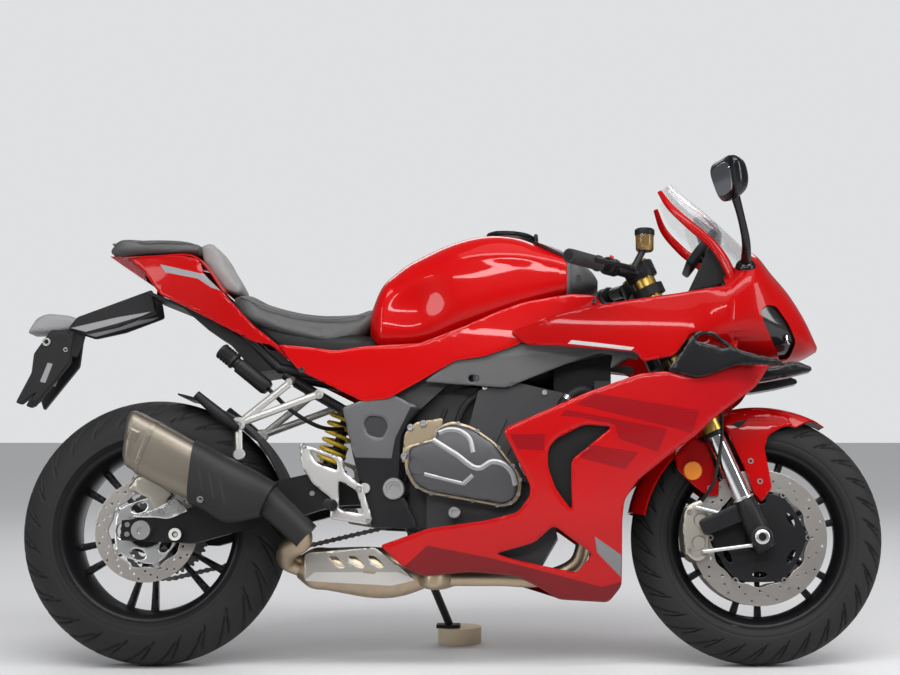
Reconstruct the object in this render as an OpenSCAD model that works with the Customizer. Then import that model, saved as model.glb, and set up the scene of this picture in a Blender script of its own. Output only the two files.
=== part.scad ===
// Sport bike, parked on its side stand with a floor puck under the foot.
// Bike frame: x forward from the rear axle, y to the left, z up from the floor.
// The whole bike is then leaned to the left on its tyres (see parked()).

/* [Stance] */
// Distance between the axles
wheelbase = 1435; // [1400:5:1470]
// Lean to the left on the side stand, degrees
lean = 7; // [5:0.5:9]
// Steering head angle from the vertical, degrees
rake = 24; // [23:0.5:26]
// Fork tubes ahead of the steering axis
fork_offset = 30; // [26:1:34]
// Radial clearance of a shaft in its bore
run_fit = 0.05; // [0.02:0.01:0.1]

/* [Wheels] */
// Rear tyre height from the bead seat to the crown
rear_section_h = 101; // [96:1:106]
// Rear tyre width
rear_tyre_w = 180; // [170:1:184]
// Front tyre height from the bead seat to the crown
front_section_h = 86; // [81:1:89]
// Front tyre width
front_tyre_w = 120; // [110:1:124]
// Bead seat radius of both rims
rim_seat_r = 214; // [210:1:218]
// Depth of the rim barrel below the bead seat, where the spokes end
rim_depth = 26; // [20:1:34]
// Rear rim width over the beads
rear_rim_w = 152; // [140:1:158]
// Front rim width over the beads
front_rim_w = 100; // [90:1:106]
// Spoke pairs in each wheel
spoke_pairs = 6; // [5:1:7]
// Spoke thickness along the axle
spoke_t = 24; // [18:1:30]
// Axle radius, both wheels
axle_r = 12.5; // [10:0.5:14]
// Bore radius of both hollow axles
axle_bore_r = 9; // [7:0.5:10]

/* [Brakes] */
// Front disc diameter
front_disc_d = 320; // [300:1:330]
// Rear disc diameter
rear_disc_d = 240; // [220:1:250]
// Front disc centre plane from the wheel's middle
front_disc_y = 68; // [66:1:74]
// Rear disc centre plane from the wheel's middle
rear_disc_y = 104; // [102:1:108]
// Width of the front brake band
front_band = 46; // [40:1:50]
// Width of the rear brake band
rear_band = 34; // [28:1:36]
// Disc thickness
disc_t = 5; // [4:0.5:6]

/* [Drive] */
// Chain pitch
chain_pitch = 15.875; // [12.7:0.005:15.875]
// Rear sprocket teeth
rear_teeth = 43; // [41:1:45]
// Front sprocket teeth
front_teeth = 16; // [15:1:17]
// Chain centre plane, to the left
chain_y = 105; // [104:0.5:107]
// Chain width over the pins
chain_w = 18; // [16:0.5:19]

/* [Fork and bars] */
// Fork tube spacing from the middle
fork_y = 105; // [103:1:110]
// Outer fork tube radius
fork_tube_r = 27; // [25:0.5:28]
// Inner fork leg radius
fork_leg_r = 21.5; // [20:0.5:23]
// Lower end of the outer tubes, along the fork from the axle
fork_tube_z0 = 270; // [255:1:285]
// Upper end of the outer tubes, along the fork from the axle
fork_tube_z1 = 712; // [705:1:716]
// Steering stem radius
stem_r = 18; // [16:0.5:20]
// Handlebar radius
bar_r = 11; // [10:0.5:12]
// Grip radius
grip_r = 17; // [15:0.5:18]
// Bar end bore radius
bar_bore_r = 7; // [6:0.5:8]
// Bar end bore depth
bar_bore_l = 40; // [30:1:50]

/* [Swingarm and stand] */
// Swingarm pivot ahead of the rear axle
pivot_x = 580; // [570:1:590]
// Swingarm pivot height
pivot_z = 411; // [405:1:417]
// Inner face of the swingarm arms
arm_y = 119; // [118:0.5:121]
// Arm thickness
arm_t = 26; // [22:1:28]
// Paddock stand thread radius
spool_r = 5; // [4:0.5:6]
// Paddock stand thread depth
spool_l = 22; // [18:1:24]
// Side stand hinge pin radius
stand_pin_r = 8; // [7:0.5:9]
// Puck diameter
puck_d = 112; // [100:1:120]
// Puck height
puck_h = 40; // [38:1:42]
// Gap between foot and puck
foot_gap = 0.3; // [0.2:0.1:0.5]

/* [Bodywork] */
// Wall of the plastic panels
panel_t = 4; // [3:0.5:5]
// Wall of the windscreen
screen_t = 3; // [2.5:0.5:4]
// Gap between neighbouring panels
panel_gap = 2; // [1:0.5:3]

/* [Hidden] */
$fn = 48;
rim_inner_r = rim_seat_r - rim_depth;
rear_r = rim_seat_r + rear_section_h;
front_r = rim_seat_r + front_section_h;
ride_dz = front_r - 300;
rear_dz = rear_r - 315;
roll_r = rear_tyre_w / 2;
shift_x = 696.5;
shift_y = 120.75;
front_x = wheelbase;
nose_dx = wheelbase - 1435;
hinge = [637 + nose_dx, 150, 236 + ride_dz];
hinge_axis = [0.370, 0.575, 0.730];
foot = [678 + nose_dx, 326, puck_h + foot_gap];
rear_pitch_r = chain_pitch / (2 * sin(180 / rear_teeth));
front_pitch_r = chain_pitch / (2 * sin(180 / front_teeth));
sprocket_at = [655, 402];
front_sprocket = sprocket_at + [nose_dx, ride_dz];
RED = [0.72, 0.03, 0.05];
DARK_RED = [0.42, 0.02, 0.04];
BLACK = [0.06, 0.06, 0.07];
GREY = [0.25, 0.25, 0.27];
SILVER = [0.72, 0.72, 0.74];
GOLD = [0.80, 0.60, 0.15];
BRONZE = [0.50, 0.40, 0.30];

// Moves the origin under the middle of the parked bike
module on_floor() { translate([-shift_x, -shift_y, 0]) children(); }
// Leans the bike to the left by rolling on the rear tyre's crown
module parked() {
    on_floor() translate([0, 0, roll_r]) rotate([-lean, 0, 0]) translate([0, 0, -roll_r]) children();
}
// Moves the frame and all it carries with the front wheel; the swingarm takes up the rest
module raised() { translate([nose_dx, 0, ride_dz]) children(); }
module sprung() { parked() raised() children(); }
module both() { children(); mirror([0, 1, 0]) children(); }
// Wheel frames: z along the axle to the right, origin in the wheel's middle
module at_rear() { translate([0, 0, rear_r]) rotate([90, 0, 0]) children(); }
module at_front() { translate([front_x, 0, front_r]) rotate([90, 0, 0]) children(); }
// Fork frame: origin at the front axle, z up along the fork, x square to it
module on_fork() { translate([front_x, 0, front_r]) rotate([0, -rake, 0]) children(); }
// Side-view outline between two distances from the middle, right side
module plate(y0, y1) { translate([0, -y0, 0]) rotate([90, 0, 0]) linear_extrude(y1 - y0) children(); }
module rod(p, q, r) {
    d = q - p;
    translate(p) rotate([0, acos(d.z / norm(d)), atan2(d.y, d.x)]) cylinder(h = norm(d), r = r);
}
// Pipe along a list of points, with a ball at each bend
module pipe(pts, r) {
    for (i = [0:len(pts) - 2]) rod(pts[i], pts[i + 1], r);
    for (i = [1:len(pts) - 2]) translate(pts[i]) sphere(r + 0.3);
}
module slot(p, q, r) { translate(p) circle(r); translate(q) circle(r); bar2(p, q, 2 * r); }
module bar2(p, q, w) {
    d = q - p;
    translate(p) rotate(atan2(d.y, d.x)) translate([0, -w / 2]) square([norm(d), w]);
}
// Rounded ring of points at a station along x: half width, bottom, top, roundness
function ring(x, w, z0, z1, e, n = 24) = [for (i = [0:n - 1]) let (c = cos(360 * i / n),
    s = sin(360 * i / n)) [x, w * sign(c) * pow(abs(c), e),
    (z0 + z1) / 2 + (z1 - z0) / 2 * sign(s) * pow(abs(s), e)]];
// Closed body through rings of equal length
module loft(rings) {
    n = len(rings[0]);
    m = len(rings);
    polyhedron([for (r = rings) each r], concat([[for (i = [0:n - 1]) i]],
        [for (j = [0:m - 2]) for (i = [0:n - 1]) let (a = j * n + i, b = j * n + (i + 1) % n)
            each [[a, a + n, b + n], [a, b + n, b]]],
        [[for (i = [n - 1:-1:0]) (m - 1) * n + i]]));
}
// Loft from a table with columns x, half width, bottom, top, roundness
module body(table) { loft([for (s = table) ring(s[0], s[1], s[2], s[3], s[4])]); }
// The same table pulled in on all sides by a wall
function inset(table, t) = [for (s = table) [s[0], s[1] - t, s[2] + t, s[3] - t, s[4]]];
// Thin wall on a grid of points, thickened along v
module sheet(p, v) {
    k = len(p);
    m = len(p[0]);
    n = k * m;
    polyhedron(concat([for (r = p) each r], [for (r = p) for (q = r) q + v]), concat(
        [for (j = [0:k - 2]) for (i = [0:m - 2]) let (a = j * m + i, b = a + 1, c = b + m, d = a + m)
            each [[a, d, c], [a, c, b], [a + n, b + n, c + n], [a + n, c + n, d + n]]],
        [for (i = [0:m - 2]) let (a = i, b = i + 1, c = (k - 1) * m + i, d = c + 1)
            each [[a, b, b + n], [a, b + n, a + n], [d, c, c + n], [d, c + n, d + n]]],
        [for (j = [0:k - 2]) let (a = j * m, d = a + m, b = a + m - 1, c = b + m)
            each [[d, a, a + n], [d, a + n, d + n], [b, c, c + n], [b, c + n, b + n]]]));
}
// Right-hand panel: half widths ys over stations xs and heights zs, cut to the outline given
module skin(xs, zs, ys, t = panel_t) {
    intersection() {
        sheet([for (k = [0:len(zs) - 1]) [for (i = [0:len(xs) - 1]) [xs[i], -ys[k][i], zs[k]]]], [0, t, 0]);
        plate(40, 420) children();
    }
}

// Frame and engine

spar = [[1046, 872], [1108, 735], [960, 700], [700, 655], [640, 600], [560, 618], [520, 640],
    [600, 690], [760, 760], [980, 842]];
pivot_plate = [[457, 601], [560, 640], [640, 600], [612, 566], [596, 530], [592, 410], [612, 380], [640, 318],
    [530, 323], [486, 480]];
spar_y0 = 96;
plate_y0 = 120;
plate_y1 = 136;
module stem_line(r, z0, z1) { on_fork() translate([-fork_offset, 0, z0]) cylinder(r = r, h = z1 - z0); }
head_z0 = 512;
head_z1 = 616;
module main_frame() color(BLACK) {
    parked() difference() {
        union() {
            stem_line(stem_r + 16, head_z0, head_z1);
            raised() both() {
                plate(spar_y0, 124) polygon(spar);
                plate(plate_y0, plate_y1) polygon(pivot_plate);
                plate(plate_y0, plate_y1 + 6) translate([pivot_x, pivot_z]) circle(26);
            }
            on_fork() translate([-fork_offset - 112, -124, 530]) cube([46, 248, 76]);
            on_fork() translate([-fork_offset - 70, -54, 530]) cube([70, 108, 76]);
            raised() translate([515, -plate_y0 - 1, 560]) cube([45, 2 * plate_y0 + 2, 40]);
        }
        stem_line(stem_r + run_fit, 0, 900);
    }
    on_floor() {
        rod(hinge - 14 * hinge_axis, hinge + 14 * hinge_axis, stand_pin_r - run_fit);
        rod(hinge - 50 * hinge_axis, hinge - 13 * hinge_axis, 15);
        pipe([hinge - 42 * hinge_axis, hinge - 42 * hinge_axis + [-12, -4, 40], [594 + nose_dx, 159, 328 + ride_dz]], 12);
    }
}
module subframe() color(BLACK) sprung() both() {
    pipe(rail_line, 12);
    pipe(brace_line, 11);
    rod([538, -64, 650], [538, -spar_y0 + 0.2, 650], 15);
    rod([466, -64, 594], [466, -plate_y0 + 0.2, 594], 14);
}
rail_line = [[530, -80, 655], [300, -80, 700], [120, -60, 862], [0, -58, 892]];
brace_line = [[470, -80, 592], [310, -80, 685]];
module engine_block() color(GREY) sprung() {
    difference() {
        plate(-118, 118) polygon([[655, 300], [700, 240], [920, 232], [960, 300], [935, 420], [700, 470],
            [655, 440]]);
        rod([sprocket_at.x, 60, sprocket_at.y], [sprocket_at.x, 200, sprocket_at.y],
            front_pitch_r + 14);
    }
    plate(-head_y, head_y) polygon(head_shape);
    both() for (i = [0:4]) plate(head_y, head_y + 6) polygon([for (q = [[0, 0], [8, 0], [52, 95], [44, 95]])
        [790 + 34 * i, 478 - 14 * i] + q]);
}
head_y = 140;
head_shape = [[730, 465], [935, 415], [1005, 560], [985, 632], [830, 668], [775, 640]];
head_cut = [[727, 464], [936, 413], [1012, 562], [985, 650], [725, 650]];
clutch = [[605, 509], [674, 527], [676, 553], [715, 569], [764, 555], [817, 518], [852, 474], [877, 444],
    [879, 408], [868, 380], [838, 367], [779, 378], [659, 399], [625, 417], [606, 454]];
module engine_covers() color(GREY) sprung() {
    difference() {
        plate(118, 170) polygon(clutch);
        plate(100, head_y + 8) polygon(head_cut);
    }
    plate(169, 186) translate([748, 462]) circle(78);
    plate(169, 178) translate([640, 462]) circle(26);
    mirror([0, 1, 0]) {
        difference() {
            plate(118, 160) translate([845, 380]) circle(82);
            plate(100, head_y + 8) polygon(head_cut);
        }
        plate(159, 166) translate([845, 380]) circle(58);
        plate(118, 135) polygon([[648, 335], [722, 335], [722, 460], [648, 466]]);
    }
}
module radiator() color(BLACK) sprung() {
    difference() {
        translate([1046, -168, 330]) cube([38, 336, 330]);
        for (i = [0:1]) translate([1040, -150, 342 + 160 * i]) cube([6 + 38, 300, 146]);
    }
    for (i = [0:20]) translate([1052, -150, 342.5 + 15.2 * i]) cube([26, 300, 5]);
    for (i = [0:20]) translate([1056, -150 + 14.5 * i, 336]) cube([18, 4, 318]);
}

// Tank, seats and tail

tank_table = [[512, 70, 790, 850, 0.8], [530, 100, 775, 893, 0.75], [575, 112, 765, 943, 0.75],
    [640, 122, 765, 982, 0.7], [720, 138, 775, 1014, 0.65], [800, 146, 790, 1027, 0.62],
    [870, 148, 812, 1019, 0.62], [930, 146, 835, 996, 0.62], [990, 138, 862, 962, 0.65]];
cap_at = [842, 0, 1016];
cap_tilt = 3;
neck_h = 14;
lid_x = 63.5;
lid_pin_r = 2.5;
module on_tank() { translate(cap_at) rotate([0, cap_tilt, 0]) children(); }
module fuel_tank() color(RED) sprung() difference() {
    union() {
        body(tank_table);
        on_tank() {
            cylinder(r = 62, h = neck_h);
            for (s = [-1, 1]) translate([58.5, s * 14.5 - 6, 0]) cube([10, 12, neck_h + 5]);
            translate([lid_x, 0, neck_h + 5]) rotate([90, 0, 0]) {
                cylinder(r = lid_pin_r - run_fit, h = 34, center = true);
                for (s = [-1, 1]) translate([0, 0, 14.5 * s]) cylinder(r = 5, h = 12, center = true);
            }
        }
    }
    on_tank() translate([0, 0, -40]) cylinder(r = 22, h = 80);
}
module filler_cap() color(BLACK) sprung() on_tank() {
    difference() {
        union() {
            translate([0, 0, neck_h + 0.4]) cylinder(r = 58, h = 9);
            translate([0, 0, neck_h + 9]) cylinder(r = 40, h = 3);
        }
        translate([49, -24, 0]) cube([20, 48, 40]);
    }
    difference() {
        union() {
            translate([lid_x, 0, neck_h + 5]) rotate([90, 0, 0]) cylinder(r = 5, h = 15, center = true);
            translate([46, -7.5, neck_h + 1.5]) cube([lid_x - 46, 15, 7]);
        }
        translate([lid_x, 0, neck_h + 5]) rotate([90, 0, 0]) cylinder(r = lid_pin_r, h = 40, center = true);
    }
}
module tank_cover() color(GREY) sprung() difference() {
    body([[938, 146, 838, 1001, 0.62], [992, 142, 864, 972, 0.65], [1030, 118, 880, 950, 0.7],
        [1056, 70, 892, 922, 0.8]]);
    body([[900, 148, 821, 1016, 0.62], [931, 147.5, 832, 998, 0.62], [992, 139.5, 859, 964, 0.65],
        [1002, 120, 870, 950, 0.65]]);
}
side_outline = [[300, 752], [351, 690], [506, 614], [566, 621], [649, 667], [723, 709], [786, 717], [873, 747],
    [889, 765], [956, 800], [1027, 822], [1070, 838], [1044, 866], [990, 868], [931, 858], [876, 847], [813, 823],
    [742, 791], [638, 751], [505, 745], [440, 735], [369, 745]];
module side_panels() color(RED) sprung() both()
    {
    skin([280, 420, 560, 720, 880, 1090], [600, 680, 760, 890],
        [[126, 140, 148, 156, 165, 170], [126, 138, 148, 160, 168, 172], [130, 142, 150, 160, 166, 168],
        [122, 136, 140, 150, 154, 150]]) polygon(side_outline);
    for (q = [[690, 705], [600, 668]]) plate(q.x > 650 ? 124.2 : 136.2, 148) translate(q) circle(9);
}
module frame_covers() color(GREY) sprung() both() difference() {
    plate(147, 151) polygon([[648, 660], [839, 646], [873, 659], [973, 699], [1059, 728], [1150, 712],
        [1150, 735], [872, 752], [722, 716]]);
    plate(100, 200) translate([760, 668]) circle(8);
}
module rider_seat() color(GREY) sprung() body([[183, 62, 848, 880, 0.7], [205, 92, 820, 879, 0.6],
    [270, 118, 795, 850, 0.55], [350, 122, 772, 829, 0.55], [420, 108, 762, 824, 0.55],
    [470, 84, 772, 828, 0.6], [508, 62, 800, 850, 0.7]]);
module backstop_pad() color(SILVER) sprung() plate(-58, 58)
    polygon([[97, 1006], [119, 1009], [141, 984], [192, 902], [175, 889], [99, 981]]);
module pillion_seat() color(GREY) sprung() body([[-130, 50, 996, 1008, 0.7], [-110, 82, 984, 1021, 0.6],
    [-20, 100, 980, 1025, 0.55], [60, 96, 980, 1021, 0.55], [92, 80, 984, 1016, 0.6]]);
tail_outline = [[-78, 972], [64, 971], [104, 962], [120, 922], [172, 872], [240, 800], [300, 752], [345, 700],
    [282, 752], [244, 758], [67, 850], [13, 875], [-33, 937]];
module tail_cowl() color(RED) sprung() {
    both() skin([-90, 60, 200, 360], [690, 800, 900, 975],
        [[60, 88, 108, 124], [70, 96, 118, 128], [80, 104, 124, 128], [74, 98, 112, 116]]) polygon(tail_outline);
    plate(-88, 88) polygon([[-70, 979.7], [96, 979.7], [172, 888], [164, 882], [88, 971], [-70, 971]]);
}
module undertray() color(BLACK) sprung() difference() {
    plate(-84, 84) polygon([[-20, 880], [67, 845], [128, 792], [179, 760], [242, 690], [334, 705], [300, 740],
        [250, 750], [80, 846], [-15, 886]]);
    plate(-80, 80) polygon([[67, 853], [128, 800], [179, 768], [246, 696], [400, 712], [400, 900], [67, 900]]);
    both() pipe(rail_line, 13);
    both() pipe(brace_line, 12);
}
module tail_lamps() color(DARK_RED) sprung() {
    plate(-62, 62) polygon([[-119, 975], [-70.4, 977], [-70.4, 968], [-34, 937], [-30, 915]]);
}
module plate_hanger() color(BLACK) sprung() {
    both() plate(36, 48) polygon([[-20, 902], [-15, 886], [-210, 815], [-245, 805], [-212, 837]]);
    plate(-36, 36) polygon([[-337, 796], [-315, 840], [-276, 846], [-212, 837], [-206, 816], [-245, 803]]);
    plate(-48, 48) polygon([[-245, 806], [-215, 806], [-228, 729], [-257, 683], [-308, 612], [-342, 627], [-316, 744]]);
}

// Fairing, nose and screen

nose_table = [[1350, 212, 715, 925, 0.75], [1428, 186, 714, 985, 0.8], [1470, 160, 716, 938, 0.8],
    [1520, 122, 722, 880, 0.85], [1560, 78, 735, 815, 0.9], [1586, 24, 750, 766, 1]];
upper_outline = [[966, 815], [1026, 827], [1112, 840], [1240, 859], [1347, 880], [1362, 880], [1362, 724],
    [1300, 762], [1269, 767], [1230, 712], [1155, 697], [1142, 720], [966, 735]];
lamp_cut = [[1440, 836], [1476, 851], [1512, 826], [1536, 780], [1530, 742], [1492, 722], [1462, 770]];
module nose_cowl() color(RED) sprung() difference() {
    union() {
        difference() {
            body(nose_table);
            body(concat([[1300, 218, 719, 880, 0.75]], inset(nose_table, panel_t)));
            plate(-140, 140) polygon([[1340, 1010], [1340, 900], [1400, 930], [1427, 1010]]);
        }
        both() skin([960, 1100, 1240, 1380], [690, 780, 850, 920],
            [[205, 222, 226, 205], [212, 226, 228, 206], [205, 218, 220, 200], [190, 200, 205, 190]])
            polygon(upper_outline);
        both() pipe(concat([for (i = [4:-1:1]) let (s = screen_line[i])
            [s[0] - 0.3 * s[2] - 8, -s[2] - 15, s[1] - 0.36 * s[2] - 8]], [[1362, -168, 915], [1372, -200, 850]]), 7);
    }
    both() plate(50, 260) polygon(lamp_cut);
}
module headlamps() color(BLACK) sprung() both() intersection() {
    body(inset(nose_table, 12));
    plate(54, 260) polygon([for (q = lamp_cut) [1494, 785] + 0.99 * (q - [1494, 785])]);
}
// Columns: x and z of the middle line, half width
screen_line = [[1425, 992, 112], [1380, 1036, 134], [1322, 1090, 138], [1272, 1132, 122], [1238, 1164, 84]];
module windscreen() color([0.8, 0.85, 0.9, 0.4]) sprung()
    sheet([for (s = screen_line) [for (i = [-4:4]) let (q = i / 4)
        [s[0] - 0.28 * s[2] * q * q, s[2] * q, s[1] - 0.34 * s[2] * q * q]]], [-screen_t, 0, -screen_t]);
module dash() color(BLACK) sprung() {
    translate([1306, 0, 994]) rotate([0, -52, 0]) translate([-52, -84, -11]) cube([104, 168, 22]);
    both() pipe([[1312, -40, 990], [1362, -40, 925], [1400, -40, 882]], 8);
    plate(-177, 177) polygon([[1395, 872], [1395, 892], [1405, 892], [1405, 872]]);
}
fairing_outline = [[843, 548], [1031, 628], [1150, 670], [1211, 676], [1273, 660], [1456, 687], [1421, 646],
    [1328, 576], [1276, 528], [1210, 480], [1144, 427], [1114, 383], [1109, 338], [1109, 187], [1079, 149],
    [962, 156], [923, 181], [865, 210], [761, 219], [647, 210], [610, 226], [548, 280], [663, 319], [795, 336],
    [869, 354], [898, 392], [898, 417], [838, 536]];
fairing_cuts = [
    [[957, 521], [1021, 553], [1085, 548], [992, 472], [992, 417], [994, 358], [957, 407], [939, 456], [939, 497]],
    [[952, 325], [1041, 261], [1006, 217], [868, 246], [818, 261], [907, 286]]];
fair_x = [540, 700, 850, 1000, 1120, 1300, 1470];
fair_z = [140, 220, 320, 440, 560, 695];
fair_y = [[95, 100, 105, 108, 100, 95, 95], [130, 136, 142, 147, 142, 130, 120],
    [142, 166, 180, 186, 182, 165, 140], [150, 186, 204, 210, 208, 190, 150],
    [160, 195, 214, 226, 226, 210, 160], [165, 195, 215, 230, 230, 218, 168]];
module fairing_shape() difference() {
    polygon(fairing_outline);
    for (c = fairing_cuts) polygon(c);
}
module side_fairings() color(RED) sprung() {
    skin(fair_x, fair_z, fair_y) fairing_shape();
    mirror([0, 1, 0]) skin(fair_x, fair_z, fair_y) difference() {
        fairing_shape();
        translate([500, 180]) square([230, 180]);
    }
}
module winglets() color(BLACK) sprung() both() {
    plate(214, 222) polygon([[1211, 678], [1276, 662], [1300, 664], [1373, 692], [1462, 690], [1420, 704], [1360, 716],
        [1302, 756], [1270, 760], [1236, 708]]);
    plate(152, 222) polygon([[1236, 700], [1300, 690], [1420, 694], [1420, 700], [1300, 697], [1236, 707]]);
    plate(100, 153) polygon([[1400, 697], [1470, 697], [1515, 711], [1553, 696], [1555, 687], [1502, 674],
        [1433, 662], [1396, 684]]);
}
module mirrors() color(BLACK) sprung() both() {
    pipe([[1402, -160, 935], [1396, -232, 985], [1364, -300, 1075]], 9);
    translate([1350, -312, 1105]) rotate([0, -14, 18]) body([[-16, 56, -42, 42, 0.55], [-8, 62, -48, 48, 0.55],
        [14, 56, -43, 43, 0.65], [30, 40, -30, 30, 0.75], [38, 16, -12, 12, 0.9]]);
}

// Exhaust and rests

// Columns: place of each header at the head, at the collector
header_y = [[-75, -76], [-25, -38], [25, 0], [75, 38]];
module exhaust_pipes() color(BRONZE) sprung() {
    difference() {
        for (h = header_y) pipe([[985, h[0], 592], [1024, h[0], 560], [1020, h[0], 330], [976, h[1], 205],
            [700, h[1], 205]], 18);
        plate(-head_y, head_y) translate([0.3, 0]) polygon(head_shape);
    }
    translate([640, -98, 184]) cube([66, 158, 42]);
    rod([650, -52, 212], [350, -60, 232], 50);
    pipe(link_line, 24);
}
// Pipe from the collector box round to the silencer
link_line = [[362, -60, 231], [330, -112, 262], [380, -190, 305], [290, -200, 390]];
module catalyst_guard() color(SILVER) sprung() difference() {
    plate(110.4, 114.4) polygon([[372, 263], [535, 277], [605, 224], [631, 201], [575, 187], [372, 199]]);
    for (i = [0:2]) plate(100, 130) slot([425 + 60 * i, 225], [455 + 60 * i, 245], 6);
}
muffler_y = 212;
can_tilt = 27;
// Columns as in body(): along the can from its front edge, half width, bottom, top, roundness
can_table = [[-165, 36, -20, 58, 0.9], [-120, 50, -58, 61, 0.75], [-20, 58, -62, 62, 0.6], [60, 61, -64, 62, 0.5],
    [120, 61, -58, 66, 0.5], [160, 59, -32, 68, 0.5], [180, 55, -4, 65, 0.55]];
module on_can() { translate([144, -muffler_y, 440]) rotate([0, can_tilt - 180, 0]) mirror([0, 0, 1]) children(); }
module muffler() color(BRONZE) sprung() difference() {
    on_can() body(can_table);
    on_can() translate([140, 0, 20]) rotate([0, 90, 0]) cylinder(r = 30, h = 80);
    rod(link_line[2], link_line[3] + 0.004 * (link_line[3] - link_line[2]), 24.3);
}
module muffler_shield() color(BLACK) sprung() {
    difference() {
        on_can() body(inset(can_table, -panel_t - 0.3));
        on_can() body(concat([[-200, 36, -20, 58, 0.9]], inset(can_table, -0.3)));
        on_can() translate([0, -200, -200]) cube([400, 400, 400]);
        translate([0, -muffler_y - 6, 200]) cube([500, 200, 400]);
        for (i = [0:2]) plate(200, 340) polygon([for (q = [[0, 0], [11, -3], [29, 33], [18, 36]])
            [166 + 34 * i, 402 - 8 * i] + q]);
    }
    difference() {
        rod([300, -200, 381], [388, -192, 300], 33);
        rod([280, -201.8, 399.4], [400, -190.9, 289], 28);
        on_can() body(inset(can_table, -0.3));
        translate([0, -197, 200]) cube([500, 200, 400]);
    }
}
module rider_hangers() color(SILVER) sprung() both() {
    plate(150, 160) polygon([[362, 517], [463, 482], [468, 447], [510, 417], [534, 336], [521, 327], [435, 341],
        [439, 387], [394, 422], [368, 461]]);
    rod([440, -158, 372], [440, -235, 372], 11);
    plate(plate_y1 + 0.2, 151) translate([514, 412]) circle(12);
}
module passenger_hangers() color(SILVER) sprung() both() {
    plate(146, 158) {
        bar2([333, 655], [218, 561], 18);
        bar2([404, 631], [218, 561], 18);
        bar2([218, 566], [222, 486], 20);
        translate([218, 561]) circle(16);
        translate([222, 490]) circle(14);
    }
    rod([214, -166, 552], [125, -180, 627], 11);
    rod([333, -150, 660], [333, -93, 672], 8);
}
module shock() color(GOLD) sprung() {
    rod([403.8, 0, 427], [455, 0, 610], 24.7);
    rod([440, 0, 560], [452, 0, 600], 17);
    for (i = [0:8]) translate([408 + 4.2 * i, 0, 478 + 15 * i]) rotate([0, 16, 0])
        rotate_extrude() translate([30, 0]) circle(5);
    rod([405, 0, 462], [408, 0, 472], 37);
    rod([446, 0, 610], [449, 0, 622], 37);
    rod([168, -125.7, 738], [289, -125.7, 640], 20);
}
pivot_at = [pivot_x + nose_dx, pivot_z + ride_dz];
arm_x = 436 + nose_dx;
arm_z = 400 + ride_dz;
beam_x = rear_r + 30;
module swingarm() color(BLACK) parked() difference() {
    union() {
        both() plate(arm_y, arm_y + arm_t) polygon([[-48, rear_r - 23], [-48, rear_r + 23], [70, rear_r + 35],
            [200, (arm_z + rear_r) / 2 + 47.5], [arm_x - 56, arm_z + 45], [arm_x, arm_z + 30], [arm_x, arm_z - 30],
            [arm_x - 56, arm_z - 48], [250, (arm_z + rear_r) / 2 - 37.5], [120, rear_r - 30]]);
        translate([beam_x, -arm_y - 1, arm_z - 28]) cube([arm_x - beam_x, 2 * arm_y + 2, 48]);
        both() plate(56, 90) polygon([[arm_x - 36, arm_z + 20], pivot_at + [0, 30], pivot_at + [28, 0],
            pivot_at - [0, 30], [arm_x - 36, arm_z - 28]]);
        rod([pivot_at.x, -90, pivot_at.y], [pivot_at.x, 90, pivot_at.y], 30);
        rod([pivot_at.x, -plate_y0 + 0.1, pivot_at.y], [pivot_at.x, plate_y0 - 0.1, pivot_at.y], 17);
        both() rod([80, -arm_y - arm_t - 14, rear_r - 10], [80, -arm_y, rear_r - 10], 14);
    }
    both() rod([80, -arm_y - arm_t - 15, rear_r - 10], [80, -arm_y - arm_t - 14 + spool_l, rear_r - 10], spool_r);
    rod([0, -300, rear_r], [0, 300, rear_r], axle_r + run_fit);
}
module axle_rod(half) {
    difference() {
        cylinder(r = axle_r, h = 2 * half, center = true);
        cylinder(r = axle_bore_r, h = 2 * half + 2, center = true);
    }
}
module rear_axle() color(SILVER) parked() at_rear() difference() {
    union() {
        cylinder(r = axle_r, h = 2 * (arm_y + arm_t) + 16, center = true);
        for (s = [-1, 1]) translate([0, 0, s * (arm_y + arm_t + 7)]) cylinder(r = 22, h = 13.9, center = true);
    }
    cylinder(r = axle_bore_r, h = 400, center = true);
}
caliper_gap = disc_t / 2 + 5.5;
module rear_caliper() color(SILVER) parked() translate([0, 0, rear_dz]) {
    difference() {
        union() {
            plate(88, arm_y - 0.2) polygon([[-44, 412], [-24, 440], [12, 444], [62, 404], [48, 376], [-8, 396]]);
            plate(rear_disc_y + caliper_gap, arm_y - 0.2) polygon([[2, 400], [50, 384], [74, 338], [40, 330]]);
        }
        plate(rear_disc_y - caliper_gap, rear_disc_y + caliper_gap) translate([0, rear_r - rear_dz])
            circle(rear_disc_d / 2 + 5.5);
    }
    plate(arm_y + arm_t + 0.2, arm_y + arm_t + 6) polygon([[-36, 344], [29, 364], [78, 390], [109, 360], [60, 340],
        [34, 344]]);
}
module rear_hugger() color(BLACK) parked() {
    difference() {
        at_rear() difference() {
            cylinder(r = rear_r + 16, h = 176, center = true);
            cylinder(r = rear_r + 12, h = 200, center = true);
        }
        translate([-400, -200, -100 + rear_dz]) cube([800, 400, 505]);
        translate([-700, -200, 300]) cube([760, 400, 660]);
    }
    translate([beam_x - 24, -60, 396 + rear_dz]) cube([23.8, 120, 20]);
}
module chain_loop(k) {
    d = front_sprocket - [0, rear_r];
    a = atan2(d.y, d.x);
    b = acos((rear_pitch_r - front_pitch_r) / norm(d));
    polygon(concat(
        [for (i = [0:24]) let (t = a + b + (360 - 2 * b) * i / 24)
            [0, rear_r] + (rear_pitch_r + k) * [cos(t), sin(t)]],
        [for (i = [0:12]) let (t = a - b + 2 * b * i / 12)
            front_sprocket + (front_pitch_r + k) * [cos(t), sin(t)]]));
}
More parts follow.
